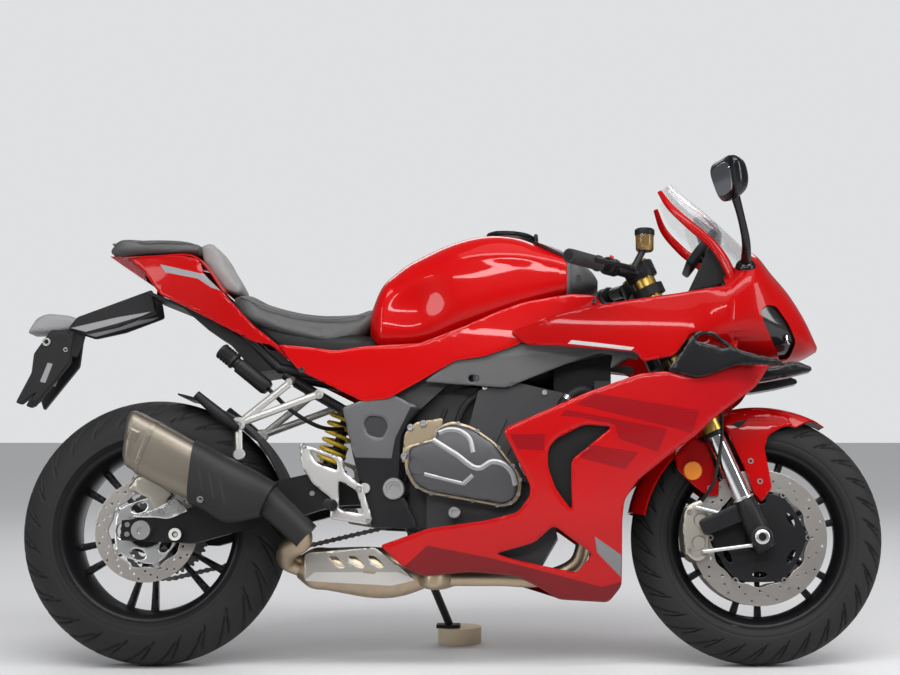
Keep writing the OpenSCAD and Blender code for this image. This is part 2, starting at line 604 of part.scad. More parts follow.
module chain() color(GREY) parked() mirror([0, 1, 0]) plate(chain_y - chain_w / 2, chain_y + chain_w / 2)
    difference() {
        chain_loop(6);
        chain_loop(-1);
    }
module stand_puck() color([0.85, 0.80, 0.68]) on_floor() translate([704 + nose_dx, 346, 0]) difference() {
    cylinder(d = puck_d, h = puck_h);
    translate([0, 0, puck_h - 4]) cylinder(d = puck_d - 24, h = 0.01);
}

// Steering

module fork_tubes() color(GOLD) parked() on_fork() both() translate([0, -fork_y, fork_tube_z0]) difference() {
    cylinder(r = fork_tube_r, h = fork_tube_z1 - fork_tube_z0);
    translate([0, 0, -1]) cylinder(r = fork_leg_r + run_fit, h = 60);
}
module fork_legs() color(SILVER) parked() on_fork() {
    difference() {
        both() {
            translate([0, -fork_y, 60]) cylinder(r = fork_leg_r, h = fork_tube_z0 - 60 + 58);
            translate([0, -fork_y, -34]) cylinder(r = fork_leg_r + 6, h = 130);
            translate([-118, -fork_y - 8, 55]) cube([112, fork_y + 8 - 92.2, 40]);
        }
        rotate([90, 0, 0]) cylinder(r = axle_r, h = 400, center = true);
    }
    rotate([90, 0, 0]) difference() {
        cylinder(r = axle_r, h = 2 * fork_y + 64, center = true);
        cylinder(r = axle_bore_r, h = 400, center = true);
    }
}
module yoke_shape() difference() {
    union() {
        both2() translate([0, -fork_y]) circle(fork_tube_r + 11);
        translate([-44, -fork_y]) square([40, 2 * fork_y]);
        translate([-fork_offset, 0]) circle(38);
    }
    both2() translate([0, -fork_y]) circle(fork_tube_r);
}
module both2() { children(); mirror([0, 1]) children(); }
module yokes() color(BLACK) parked() on_fork() {
    translate([0, 0, 468]) linear_extrude(38) yoke_shape();
    translate([0, 0, 622]) linear_extrude(24) yoke_shape();
    translate([-fork_offset, 0, 470]) cylinder(r = stem_r, h = 160);
    translate([-fork_offset, 0, 640]) cylinder(r = 16, h = 16);
}
bar_in = [1122, -138, 925];
bar_out = [985, -352, 920];
bar_dir = (bar_out - bar_in) / norm(bar_out - bar_in);
bar_dx = nose_dx;
module on_bars() { translate([bar_dx, 0, ride_dz]) children(); }
module handlebars() color(BLACK) parked() {
    both() on_bars() difference() {
        union() {
            rod(bar_in, bar_out, bar_r);
            rod(bar_out - 128 * bar_dir, bar_out - 2 * bar_dir, grip_r);
            rod(bar_in - 8 * bar_dir, bar_in + 40 * bar_dir, 16);
        }
        rod(bar_out - bar_bore_l * bar_dir, bar_out + 5 * bar_dir, bar_bore_r);
    }
    on_fork() both() difference() {
        union() {
            translate([0, -fork_y, 668]) cylinder(r = fork_tube_r + 10, h = 38);
            translate([-44, -fork_y - 46, 672]) cube([48, 34, 30]);
        }
        translate([0, -fork_y, 600]) cylinder(r = fork_tube_r, h = 130);
    }
}
module controls() color(BLACK) parked() on_bars() {
    both() {
        difference() {
            rod(bar_in + 52 * bar_dir, bar_in + 92 * bar_dir, 21);
            rod(bar_in, bar_out, bar_r);
        }
        rod(bar_in + 70 * bar_dir + [23, 0, -6], bar_in + 70 * bar_dir + [58, 0, -9], 10);
        rod(bar_in + 66 * bar_dir + [54, 0, -6], bar_out + [62, 12, -8], 6);
    }
    translate([1164, -178, 964]) cylinder(r = 22, h = 52);
    rod(bar_in + 70 * bar_dir + [50, 0, -9], [1162, -180, 970], 8);
}
module front_calipers() color(SILVER) sprung() both() difference() {
    plate(50, 92) polygon([[1258, 372], [1300, 390], [1318, 340], [1312, 255], [1285, 240], [1258, 262], [1252, 320]]);
    plate(front_disc_y - disc_t / 2 - 6, front_disc_y + disc_t / 2 + 6)
        translate([front_x - nose_dx, front_r - ride_dz]) circle(front_disc_d / 2 + 6);
}
module front_fender() color(RED) parked() {
    difference() {
        at_front() difference() {
            rotate_extrude() polygon([[front_r + 8, -60], [front_r + 12, -30], [front_r + 13, 0], [front_r + 12, 30],
                [front_r + 8, 60], [front_r - 24, 77], [front_r - 24, 73], [front_r + 4, 57], [front_r + 8, 30],
                [front_r + 9, 0], [front_r + 8, -30], [front_r + 4, -57], [front_r - 24, -73], [front_r - 24, -77]]);
        }
        translate([front_x + 150, -200, ride_dz]) cube([400, 400, 552]);
        translate([front_x - 600, -200, ride_dz - 100]) cube([1400, 400, 460]);
        translate([front_x, -200, ride_dz]) cube([200, 400, 500]);
    }
    raised() both() plate(76, 83.3) polygon([[1379, 525], [1459, 545], [1470, 420],
        [1444, 385], [1400, 455], [1356, 468], [1346, 500]]);
}

// Wheels

// Tyre section: round crown, sides drawn in to the bead
module tyre(r, w, bead) rotate_extrude() intersection() {
    translate([r - w / 2, 0]) circle(d = w);
    polygon([[rim_seat_r, -bead], [rim_seat_r, bead], [r - w / 2, w / 2 + 1], [r + 5, w / 2 + 1],
        [r + 5, -w / 2 - 1], [r - w / 2, -w / 2 - 1]]);
}
module rim(half, hub_r, hub0, hub1) {
    difference() {
        union() {
            rotate_extrude() polygon([[rim_seat_r, -half], [rim_seat_r, half], [rim_seat_r - 12, half],
                [rim_inner_r + 6, half - 14], [rim_inner_r - 2, 10], [rim_inner_r - 2, -10],
                [rim_inner_r + 6, -half + 14], [rim_seat_r - 12, -half]]);
            translate([0, 0, hub0]) cylinder(r = hub_r, h = hub1 - hub0);
            linear_extrude(spoke_t, center = true) for (i = [0:spoke_pairs - 1]) rotate(360 / spoke_pairs * (i + 0.35))
                for (s = [-1, 1]) polygon([[hub_r - 6, 4 * s - 7], [hub_r - 6, 4 * s + 7],
                    [rim_inner_r + 2, 31 * s + 5], [rim_inner_r + 2, 31 * s - 5]]);
        }
        translate([0, 0, hub0 - 1]) cylinder(r = axle_r + run_fit, h = hub1 - hub0 + 2);
    }
}
module disc(d, inner, hub_r, arms) linear_extrude(disc_t, center = true) {
    difference() {
        circle(d / 2);
        circle(inner);
        for (i = [0:35]) rotate(10 * i) translate([(d / 2 + inner) / 2 + 8 * (i % 3 - 1), 0]) circle(3.2);
    }
    difference() {
        union() {
            circle(hub_r + 16);
            for (i = [0:arms - 1]) rotate(360 / arms * i) bar2([hub_r, -8], [inner + 3, 8], 15);
        }
        circle(hub_r - 8);
    }
}
module front_rim() color(BLACK) parked() at_front()
    rim(front_rim_w / 2, 44, -front_disc_y + disc_t / 2, front_disc_y - disc_t / 2);
module front_tyre() color(BLACK) parked() at_front() tyre(front_r, front_tyre_w, front_rim_w / 2);
module front_discs() color(SILVER) parked() at_front() for (s = [-1, 1]) translate([0, 0, s * front_disc_y])
    disc(front_disc_d, front_disc_d / 2 - front_band, 40, 6);
module rear_rim() color(BLACK) parked() at_rear()
    rim(rear_rim_w / 2, 52, -chain_y + 4, rear_disc_y - disc_t / 2);
module rear_tyre() color(BLACK) parked() at_rear() tyre(rear_r, rear_tyre_w, rear_rim_w / 2);
module rear_disc() color(SILVER) parked() at_rear() translate([0, 0, rear_disc_y])
    disc(rear_disc_d, rear_disc_d / 2 - rear_band, 46, 8);
module sprocket() color(GREY) parked() at_rear() translate([0, 0, -chain_y]) linear_extrude(6, center = true)
    difference() {
        circle(rear_pitch_r - 8);
        circle(52 - 8);
        for (i = [0:4]) rotate(72 * i) translate([74, 0]) circle(14);
    }
module side_stand() color(BLACK) on_floor() {
    difference() {
        rod(hinge - 12 * hinge_axis, hinge + 12 * hinge_axis, 16);
        rod(hinge - 20 * hinge_axis, hinge + 20 * hinge_axis, stand_pin_r);
    }
    difference() {
        pipe([hinge + [2.6, 7.4, -3], hinge + [10, 60, -75], foot + [0, -8, 12]], 10);
        rod(hinge - 20 * hinge_axis, hinge + 20 * hinge_axis, stand_pin_r + 3);
    }
    translate(foot) translate([-32, -16, 0]) cube([60, 36, 9]);
}

main_frame();
subframe();
engine_block();
engine_covers();
radiator();
fuel_tank();
filler_cap();
tank_cover();
side_panels();
frame_covers();
rider_seat();
backstop_pad();
pillion_seat();
tail_cowl();
undertray();
tail_lamps();
plate_hanger();
nose_cowl();
headlamps();
windscreen();
dash();
side_fairings();
winglets();
mirrors();
exhaust_pipes();
catalyst_guard();
muffler();
muffler_shield();
rider_hangers();
passenger_hangers();
shock();
swingarm();
rear_axle();
rear_caliper();
rear_hugger();
chain();
stand_puck();
fork_tubes();
fork_legs();
yokes();
handlebars();
controls();
front_calipers();
front_fender();
front_rim();
front_tyre();
front_discs();
rear_rim();
rear_tyre();
rear_disc();
sprocket();
side_stand();
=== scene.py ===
import math

import bmesh
import bpy
import numpy as np
from mathutils import Matrix, Vector
from mathutils.geometry import delaunay_2d_cdt


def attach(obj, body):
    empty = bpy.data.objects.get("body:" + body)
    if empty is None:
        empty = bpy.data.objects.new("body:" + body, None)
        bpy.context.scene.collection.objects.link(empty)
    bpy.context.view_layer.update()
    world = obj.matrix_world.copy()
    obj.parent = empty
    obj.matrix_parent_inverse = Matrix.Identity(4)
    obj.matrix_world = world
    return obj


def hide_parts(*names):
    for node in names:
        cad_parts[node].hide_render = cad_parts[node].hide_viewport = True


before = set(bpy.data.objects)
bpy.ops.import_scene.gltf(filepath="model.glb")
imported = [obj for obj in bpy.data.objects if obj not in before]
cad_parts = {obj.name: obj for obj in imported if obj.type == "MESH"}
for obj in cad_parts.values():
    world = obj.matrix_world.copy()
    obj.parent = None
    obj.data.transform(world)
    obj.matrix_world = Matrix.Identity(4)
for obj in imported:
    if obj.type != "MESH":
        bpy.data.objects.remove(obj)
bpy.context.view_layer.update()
scene = bpy.context.scene
scene.view_settings.view_transform = "Standard"

# Studio and camera. A pale painted floor, a pale backdrop and large soft lamps; the camera
# stands to the bike's right at knee height, where the photograph was taken from.
FLOOR_SHIFT = (-0.6965, -0.12075)
FOCAL_PX, FRAME_W, FRAME_H = 1650.0, 900.0, 675.0
VANISH_PX = (569.0, 381.0)
CAMERA_ALONG, CAMERA_AWAY, CAMERA_UP = 0.987, 3.93, 0.676
FLOOR_HALF, FLOOR_Z = 14.0, -0.0005
camera_data = bpy.data.cameras.new("camera")
camera_data.sensor_width = 36.0
camera_data.lens = 36.0 * FOCAL_PX / FRAME_W
camera_data.shift_x = (FRAME_W / 2 - VANISH_PX[0]) / FRAME_W
camera_data.shift_y = (VANISH_PX[1] - FRAME_H / 2) / FRAME_W
camera_data.clip_end = 100.0
camera = bpy.data.objects.new("camera", camera_data)
scene.collection.objects.link(camera)
camera.location = (CAMERA_ALONG + FLOOR_SHIFT[0], -CAMERA_AWAY + FLOOR_SHIFT[1], CAMERA_UP)
camera.rotation_euler = (math.pi / 2, 0.0, 0.0)
scene.camera = camera

world = bpy.data.worlds.new("studio")
scene.world = world
world.use_nodes = True
sky, sky_links = world.node_tree.nodes, world.node_tree.links
ray = sky.new("ShaderNodeLightPath")
seen = sky.new("ShaderNodeMath")
seen.operation = "MAXIMUM"
backdrop = sky.new("ShaderNodeBackground")
backdrop.inputs["Color"].default_value = (0.74, 0.75, 0.76, 1.0)
blend_sky = sky.new("ShaderNodeMixShader")
sky["Background"].inputs["Color"].default_value = (0.90, 0.92, 0.95, 1.0)
sky["Background"].inputs["Strength"].default_value = 0.20
sky_links.new(ray.outputs["Is Camera Ray"], seen.inputs[0])
sky_links.new(ray.outputs["Is Transmission Ray"], seen.inputs[1])
sky_links.new(seen.outputs[0], blend_sky.inputs[0])
sky_links.new(sky["Background"].outputs[0], blend_sky.inputs[1])
sky_links.new(backdrop.outputs[0], blend_sky.inputs[2])
sky_links.new(blend_sky.outputs[0], sky["World Output"].inputs[0])

floor_mesh = bpy.data.meshes.new("floor")
corners = [(x * FLOOR_HALF, y * FLOOR_HALF, FLOOR_Z) for x, y in ((-1, -1), (1, -1), (1, 1), (-1, 1))]
floor_mesh.from_pydata(corners, [], [(0, 1, 2, 3)])
floor = bpy.data.objects.new("floor", floor_mesh)
scene.collection.objects.link(floor)
floor_paint = bpy.data.materials.new("floor_paint")
floor_paint.use_nodes = True
floor_paint.node_tree.nodes["Principled BSDF"].inputs["Base Color"].default_value = (0.70, 0.70, 0.71, 1)
floor_paint.node_tree.nodes["Principled BSDF"].inputs["Roughness"].default_value = 0.55
floor_mesh.materials.append(floor_paint)
for lamp_name, spot, aim, size, power in (
        ("key", (0.5, -2.2, 3.4), (0.0, 0, 0.6), (4.4, 0.8), 95.0),
        ("strip", (0.1, -3.0, 1.95), (0.0, 0, 0.8), (3.2, 0.12), 24.0),
        ("side", (-3.2, -3.2, 1.7), (-0.2, 0, 0.5), (0.7, 2.2), 38.0),
        ("front", (3.6, -1.6, 1.6), (0.4, 0, 0.6), (0.7, 2.2), 40.0),
        ("back", (0.0, 3.2, 2.8), (0, 0, 0.6), (4.0, 1.0), 36.0)):
    lamp = bpy.data.lights.new(lamp_name, "AREA")
    lamp.shape = "RECTANGLE"
    lamp.size, lamp.size_y, lamp.energy = size[0], size[1], power
    holder = bpy.data.objects.new(lamp_name, lamp)
    holder.location = spot
    holder.rotation_euler = (Vector(aim) - Vector(spot)).to_track_quat("-Z", "Y").to_euler()
    scene.collection.objects.link(holder)
ceiling = bpy.data.lights.new("ceiling", "SUN")
ceiling.energy, ceiling.angle = 1.2, math.radians(70)
holder = bpy.data.objects.new("ceiling", ceiling)
holder.rotation_euler = (math.radians(24), math.radians(8), 0.0)
scene.collection.objects.link(holder)

# Frame and subframe. Cast and welded aluminium beams in a dark grey coat, with the seat rails
# bolted on behind them in satin black; the pivot plates are a separate casting.
LEAN, ROLL_HEIGHT = math.radians(7.0), 0.090
PARKED = (Matrix.Translation((*FLOOR_SHIFT, ROLL_HEIGHT)) @ Matrix.Rotation(-LEAN, 4, "X")
          @ Matrix.Translation((0, 0, -ROLL_HEIGHT)) @ Matrix.Scale(0.001, 4))


def surface_grain_group():
    """Shader group: fine grain over broad patches, as colour, roughness and height."""
    tree = bpy.data.node_groups.new("surface_grain", "ShaderNodeTree")
    for label, kind in (("Vector", "Vector"), ("Colour", "Color"), ("Shade", "Color"), ("Scale", "Float"),
                        ("Roughness", "Float"), ("Spread", "Float")):
        tree.interface.new_socket(label, in_out="INPUT", socket_type="NodeSocket" + kind)
    for label, kind in (("Colour", "Color"), ("Roughness", "Float"), ("Height", "Float")):
        tree.interface.new_socket(label, in_out="OUTPUT", socket_type="NodeSocket" + kind)
    nodes, links = tree.nodes, tree.links
    given, result = nodes.new("NodeGroupInput"), nodes.new("NodeGroupOutput")
    fine, broad = nodes.new("ShaderNodeTexNoise"), nodes.new("ShaderNodeTexNoise")
    fine.inputs["Detail"].default_value = 4.0
    broad.inputs["Scale"].default_value = 9.0
    tint = nodes.new("ShaderNodeMix")
    tint.data_type = "RGBA"
    patch = nodes.new("ShaderNodeMath")
    patch.operation = "MULTIPLY"
    rough = nodes.new("ShaderNodeMath")
    rough.operation = "MULTIPLY_ADD"
    links.new(given.outputs["Vector"], fine.inputs["Vector"])
    links.new(given.outputs["Vector"], broad.inputs["Vector"])
    links.new(given.outputs["Scale"], fine.inputs["Scale"])
    links.new(fine.outputs["Fac"], patch.inputs[0])
    links.new(broad.outputs["Fac"], patch.inputs[1])
    links.new(patch.outputs[0], tint.inputs[0])
    links.new(given.outputs["Colour"], tint.inputs[6])
    links.new(given.outputs["Shade"], tint.inputs[7])
    links.new(broad.outputs["Fac"], rough.inputs[0])
    links.new(given.outputs["Spread"], rough.inputs[1])
    links.new(given.outputs["Roughness"], rough.inputs[2])
    links.new(tint.outputs[2], result.inputs["Colour"])
    links.new(rough.outputs[0], result.inputs["Roughness"])
    links.new(fine.outputs["Fac"], result.inputs["Height"])
    return tree


SURFACE_GRAIN = surface_grain_group()


def finish(name, colour, shade, rough, spread=0.1, metal=0.0, scale=500.0, relief=0.12, depth=0.0004,
           stretch=(1, 1, 1), specular=0.5, coat=0.0, shader=()):
    """Procedural material: two close tones mixed by grain, with the grain's relief and uneven gloss."""
    material = bpy.data.materials.new(name)
    material.use_nodes = True
    nodes, links = material.node_tree.nodes, material.node_tree.links
    surface = nodes["Principled BSDF"]
    coords, mapping = nodes.new("ShaderNodeTexCoord"), nodes.new("ShaderNodeMapping")
    mapping.inputs["Scale"].default_value = stretch
    grain = nodes.new("ShaderNodeGroup")
    grain.name = "grain"
    grain.node_tree = SURFACE_GRAIN
    bump = nodes.new("ShaderNodeBump")
    bump.inputs["Strength"].default_value = relief
    bump.inputs["Distance"].default_value = depth
    for label, value in (("Colour", (*colour, 1)), ("Shade", (*shade, 1)), ("Scale", scale),
                         ("Roughness", rough), ("Spread", spread)):
        grain.inputs[label].default_value = value
    links.new(coords.outputs["Object"], mapping.inputs["Vector"])
    links.new(mapping.outputs["Vector"], grain.inputs["Vector"])
    links.new(grain.outputs["Colour"], surface.inputs["Base Color"])
    links.new(grain.outputs["Roughness"], surface.inputs["Roughness"])
    links.new(grain.outputs["Height"], bump.inputs["Height"])
    links.new(bump.outputs["Normal"], surface.inputs["Normal"])
    for label, value in (("Metallic", metal), ("Specular IOR Level", specular), ("Coat Weight", coat),
                         *shader):
        surface.inputs[label].default_value = value
    return material


def dress(material, *names):
    """Gives CAD nodes that stay as they are their material."""
    for node_name in names:
        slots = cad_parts[node_name].data.materials
        slots.clear()
        slots.append(material)


satin_black = finish("satin_black", (0.007, 0.007, 0.008), (0.018, 0.018, 0.019), 0.30, 0.16, relief=0.2,
                     specular=0.22)
frame_grey = finish("frame_grey", (0.018, 0.018, 0.020), (0.038, 0.038, 0.040), 0.34, 0.16, metal=0.2,
                    relief=0.25)
dress(frame_grey, "main_frame")
dress(satin_black, "subframe")


# Engine. A cast aluminium block with bolted side covers; the clutch cover on the right has a
# domed grey face, a machined bronze flange and silver edge ribs.
def make_piece(name, bm, materials, body, nodes=(), sharp=38.0):
    """Turns a mesh in bike millimetres into one finished piece and puts it on its body."""
    bmesh.ops.remove_doubles(bm, verts=bm.verts, dist=0.01)
    bmesh.ops.recalc_face_normals(bm, faces=bm.faces)
    mesh = bpy.data.meshes.new(name)
    bm.to_mesh(mesh)
    bm.free()
    mesh.transform(PARKED)
    for face in mesh.polygons:
        face.use_smooth = True
    mesh.set_sharp_from_angle(angle=math.radians(sharp))
    for material in materials if isinstance(materials, (list, tuple)) else [materials]:
        mesh.materials.append(material)
    piece = bpy.data.objects.new(name, mesh)
    scene.collection.objects.link(piece)
    return settle(piece, body, nodes)


def settle(piece, body, nodes=()):
    """Puts the piece on the body that carries it and hides the CAD nodes it stands for."""
    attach(piece, body)
    if nodes:
        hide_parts(*nodes)
    return piece


def rounded(points, radius, step):
    """Closed outline with its corners rounded and its long edges divided."""
    corners = [np.array(p, float) for p in points]
    line = []
    for before, here, after in zip(corners[-1:] + corners[:-1], corners, corners[1:] + corners[:1]):
        back, on = before - here, after - here
        reach = min(radius, 0.45 * np.linalg.norm(back), 0.45 * np.linalg.norm(on))
        a = here + back / np.linalg.norm(back) * reach
        b = here + on / np.linalg.norm(on) * reach
        line += [(1 - t) ** 2 * a + 2 * t * (1 - t) * here + t * t * b for t in (0.0, 0.25, 0.5, 0.75, 1.0)]
    dense = []
    for a, b in zip(line, line[1:] + line[:1]):
        count = max(1, int(np.linalg.norm(b - a) / step))
        dense += [a + (b - a) * k / count for k in range(count)]
    return np.array(dense)


def ring_of(centre, radius, count, start=0.0):
    turns = start + np.arange(count) * 2 * math.pi / count
    return np.stack([centre[0] + radius * np.cos(turns), centre[1] + radius * np.sin(turns)], axis=1)


def contains(polygon, points):
    """Which points lie inside the outline."""
    x, z = points[:, 0], points[:, 1]
    hit = np.zeros(len(points), bool)
    for (ax, az), (bx, bz) in zip(polygon, np.roll(polygon, -1, axis=0)):
        crosses = (az > z) != (bz > z)
        hit ^= crosses & (x < (bx - ax) * (z - az) / (bz - az + 1e-12) + ax)
    return hit


def edge_distance(loops, points):
    """Each point's distance from the nearest edge."""
    best = np.full(len(points), 1e9)
    for loop in loops:
        for a, b in zip(loop, np.roll(loop, -1, axis=0)):
            run = b - a
            t = np.clip(((points - a) @ run) / (run @ run + 1e-12), 0, 1)
            best = np.minimum(best, np.linalg.norm(points - a - t[:, None] * run, axis=1))
    return best


def panel(bm, outline, depth, wall, edge, side=-1, holes=(), grid=14.0, round_to=6.0, zones=(), raw=False):
    """Moulded plate: a side-view outline on the surface |y| = depth(x, z), with rolled edges."""
    step = min(grid, 12.0)
    loops = [np.array(o, float) if raw else rounded(o, round_to, step) for o in (outline, *holes)]
    zone_loops = [rounded(o, 1.0, step) for o, _ in zones]
    spots, lines = [], []
    for loop in loops + zone_loops:
        first = len(spots)
        spots += [tuple(p) for p in loop]
        lines += [(first + k, first + (k + 1) % len(loop)) for k in range(len(loop))]
    inner = []
    for loop in loops:
        run = np.roll(loop, -1, axis=0) - np.roll(loop, 1, axis=0)
        normal = np.stack([-run[:, 1], run[:, 0]], axis=1) / (np.linalg.norm(run, axis=1)[:, None] + 1e-9)
        for share in (0.3, 1.0, 2.2):
            inner += [loop + normal * edge * share, loop - normal * edge * share]
    low, high = loops[0].min(0), loops[0].max(0)
    for k, z in enumerate(np.arange(low[1], high[1], grid * 0.866)):
        across = np.arange(low[0] + grid * 0.5 * (k % 2), high[0], grid)
        inner.append(np.stack([across, np.full(len(across), z)], axis=1))
    inner = np.concatenate(inner)
    keep = contains(loops[0], inner)
    for loop in loops[1:]:
        keep &= ~contains(loop, inner)
    inner = inner[keep]
    inner = inner[edge_distance(loops, inner) > 0.27 * edge]
    spots += [tuple(p) for p in inner]
    flat, _, faces, *_ = delaunay_2d_cdt([Vector(p) for p in spots], lines, [], 0, 1e-4)
    flat = np.array([tuple(p) for p in flat])
    middles = np.array([flat[list(f)].mean(0) for f in faces])
    keep = contains(loops[0], middles)
    for loop in loops[1:]:
        keep &= ~contains(loop, middles)
    paint = np.zeros(len(faces), int)
    for loop, (_, index) in zip(zone_loops, zones):
        paint[contains(loop, middles)] = index
    near = np.minimum(edge_distance(loops, flat), edge)
    roll = edge - np.sqrt(np.maximum(edge ** 2 - (edge - near) ** 2, 0.0))
    outer = depth(flat[:, 0], flat[:, 1])
    front = [bm.verts.new((p[0], side * (y - r), p[1])) for p, y, r in zip(flat, outer, roll)]
    back = [bm.verts.new((p[0], side * (y - wall), p[1])) for p, y in zip(flat, outer)]
    uses = {}
    for k, f in enumerate(faces):
        if keep[k]:
            skin = bm.faces.new([front[i] for i in f])
            skin.material_index = int(paint[k])
            bm.faces.new([back[i] for i in reversed(f)]).material_index = int(paint[k])
            for a, b in zip(f, list(f[1:]) + [f[0]]):
                uses.setdefault((min(a, b), max(a, b)), []).append((a, b, int(paint[k])))
    for users in uses.values():
        if len(users) == 1:
            a, b, index = users[0]
            bm.faces.new([front[b], front[a], back[a], back[b]]).material_index = index
    for vert in [v for v in bm.verts if not v.link_faces]:
        bm.verts.remove(vert)


def curve(stations, values, at):
    """Smooth curve through values given at stations, held level past both ends."""
    stations, values = np.asarray(stations, float), np.asarray(values, float)
    at = np.clip(np.asarray(at, float), stations[0], stations[-1])
    slope = np.gradient(values, stations, axis=0)
    k = np.clip(np.searchsorted(stations, at) - 1, 0, len(stations) - 2)
    column = () if values.ndim == 1 else (np.arange(len(at)),)
    span = stations[k + 1] - stations[k]
    t = (at - stations[k]) / span
    return ((2 * t ** 3 - 3 * t ** 2 + 1) * values[(k, *column)]
            + (t ** 3 - 2 * t ** 2 + t) * span * slope[(k, *column)]
            + (3 * t ** 2 - 2 * t ** 3) * values[(k + 1, *column)]
            + (t ** 3 - t ** 2) * span * slope[(k + 1, *column)])


def tube(bm, points, radius, count=16, squash=1.0, steps=8):
    """Round bar through the points; radius may be one number or one for each point."""
    points = np.array(points, float)
    radii = np.full(len(points), radius, float) if np.isscalar(radius) else np.array(radius, float)
    along = np.concatenate([[0], np.cumsum(np.linalg.norm(np.diff(points, axis=0), axis=1))])
    at = np.concatenate([np.linspace(a, b, steps, endpoint=False) for a, b in zip(along, along[1:])]
                        + [along[-1:]])
    path = np.stack([curve(along, points[:, k], at) for k in range(3)], axis=1) if len(points) > 2 else points
    size = curve(along, radii, at) if len(points) > 2 else radii
    tangent = np.gradient(path, axis=0)
    tangent /= np.linalg.norm(tangent, axis=1)[:, None]
    up = np.array([0.0, 1.0, 0.0]) if abs(tangent[0][1]) < 0.9 else np.array([1.0, 0.0, 0.0])
    rings = []
    for spot, run, r in zip(path, tangent, size):
        right = np.cross(up, run)
        right /= np.linalg.norm(right)
        up = np.cross(run, right)
        rings.append([bm.verts.new(spot + r * (math.cos(a) * right + squash * math.sin(a) * up))
                      for a in np.arange(count) * 2 * math.pi / count])
    for one, two in zip(rings, rings[1:]):
        for k in range(count):
            bm.faces.new([one[k], one[(k + 1) % count], two[(k + 1) % count], two[k]])
    bm.faces.new(list(reversed(rings[0])))
    bm.faces.new(rings[-1])


def lathe(bm, profile, origin, axis, count=48):
    """Turned part: (radius, place along the axis) pairs spun about the axis."""
    axis = np.array(axis, float) / np.linalg.norm(axis)
    side = np.cross(axis, (0.0, 0.0, 1.0) if abs(axis[2]) < 0.9 else (1.0, 0.0, 0.0))
    side /= np.linalg.norm(side)
    other = np.cross(axis, side)
    rings = []
    for r, h in profile:
        rings.append([bm.verts.new(np.array(origin) + axis * h
                                   + r * (math.cos(a) * side + math.sin(a) * other))
                      for a in np.arange(count) * 2 * math.pi / count])
    for one, two in zip(rings, rings[1:]):
        for k in range(count):
            bm.faces.new([one[k], one[(k + 1) % count], two[(k + 1) % count], two[k]])
    for ring, (r, _), flip in ((rings[0], profile[0], True), (rings[-1], profile[-1], False)):
        if r > 0.01:
            bm.faces.new(list(reversed(ring)) if flip else ring)


def level(y):
    """Flat depth for a panel."""
    return lambda x, z: np.full(np.shape(x), float(y))


cast_grey = finish("cast_grey", (0.024, 0.024, 0.026), (0.060, 0.060, 0.062), 0.40, 0.16, metal=0.4,
                   scale=900.0, relief=0.4)
cover_grey = finish("cover_grey", (0.052, 0.052, 0.055), (0.092, 0.092, 0.095), 0.34, 0.12, metal=0.35,
                    scale=1400.0, relief=0.25)
flange_bronze = finish("flange_bronze", (0.36, 0.29, 0.20), (0.24, 0.19, 0.13), 0.34, 0.14, metal=0.9)
bright_metal = finish("bright_metal", (0.66, 0.66, 0.65), (0.46, 0.46, 0.46), 0.22, 0.14, metal=1.0)
rib_silver = finish("rib_silver", (0.36, 0.36, 0.36), (0.26, 0.26, 0.26), 0.32, 0.12, metal=0.8)
dress(cast_grey, "engine_block")
CLUTCH = [(605, 509), (674, 527), (676, 553), (715, 569), (764, 555), (817, 518), (852, 474), (877, 444),
          (879, 408), (868, 380), (838, 367), (779, 378), (659, 399), (625, 417), (606, 454)]
clutch_middle = np.array([748.0, 464.0])
ALTERNATOR, ALTERNATOR_R = (845, 380), 80.0


def clutch_dome(x, z):
    away = np.hypot((x - clutch_middle[0]) / 145.0, (z - clutch_middle[1]) / 100.0)
    return 172.0 + 13.0 * np.clip(1.0 - away ** 2, 0.0, 1.0)


def alternator_dome(x, z):
    return 164.0 - 0.0016 * ((x - ALTERNATOR[0]) ** 2 + (z - ALTERNATOR[1]) ** 2)


bm = bmesh.new()
panel(bm, [tuple(clutch_middle + 0.93 * (np.array(p) - clutch_middle)) for p in CLUTCH], clutch_dome, 40.0,
      9.0, grid=12.0, round_to=16.0)
lathe(bm, [(0, 165), (24, 165), (24, 175), (20, 179), (0, 179)], (640, 0, 462), (0, -1, 0), 32)
panel(bm, ring_of(ALTERNATOR, ALTERNATOR_R, 64), alternator_dome, 40.0, 10.0, side=1, raw=True)
panel(bm, [(648, 335), (722, 335), (722, 460), (648, 466)], level(134), 15.0, 6.0, side=1)
make_piece("engine_covers", bm, cover_grey, "chassis", ["engine_covers"])
bm = bmesh.new()
panel(bm, CLUTCH, level(152), 33.0, 3.0, grid=30.0, round_to=14.0)
panel(bm, [(598, 470), (604, 540), (630, 566), (694, 576), (694, 545), (664, 520), (630, 480)], level(149),
      24.0, 3.0, round_to=8.0)
make_piece("clutch_flange", bm, flange_bronze, "chassis")
bm = bmesh.new()
for wide, path in ((6.5, [(673, 522), (725, 489), (782, 456), (810, 471), (836, 466), (856, 446), (864, 417)]),
                   (6.0, [(686, 538), (709, 546), (735, 542), (756, 526), (766, 492)]),
                   (4.5, [(654, 443), (746, 420)]), (5.5, [(744, 420), (766, 440)])):
    tube(bm, [(x, -float(clutch_dome(np.array(x), np.array(z))) - 0.5, z) for x, z in path], wide, 12, 0.4)
make_piece("clutch_ribs", bm, rib_silver, "chassis")
bm = bmesh.new()
panel(bm, [(600, 310), (690, 300), (780, 540), (780, 660), (640, 660), (602, 540)], level(86), 172.0, 12.0,
      round_to=14.0)
make_piece("gearbox_case", bm, cast_grey, "chassis")


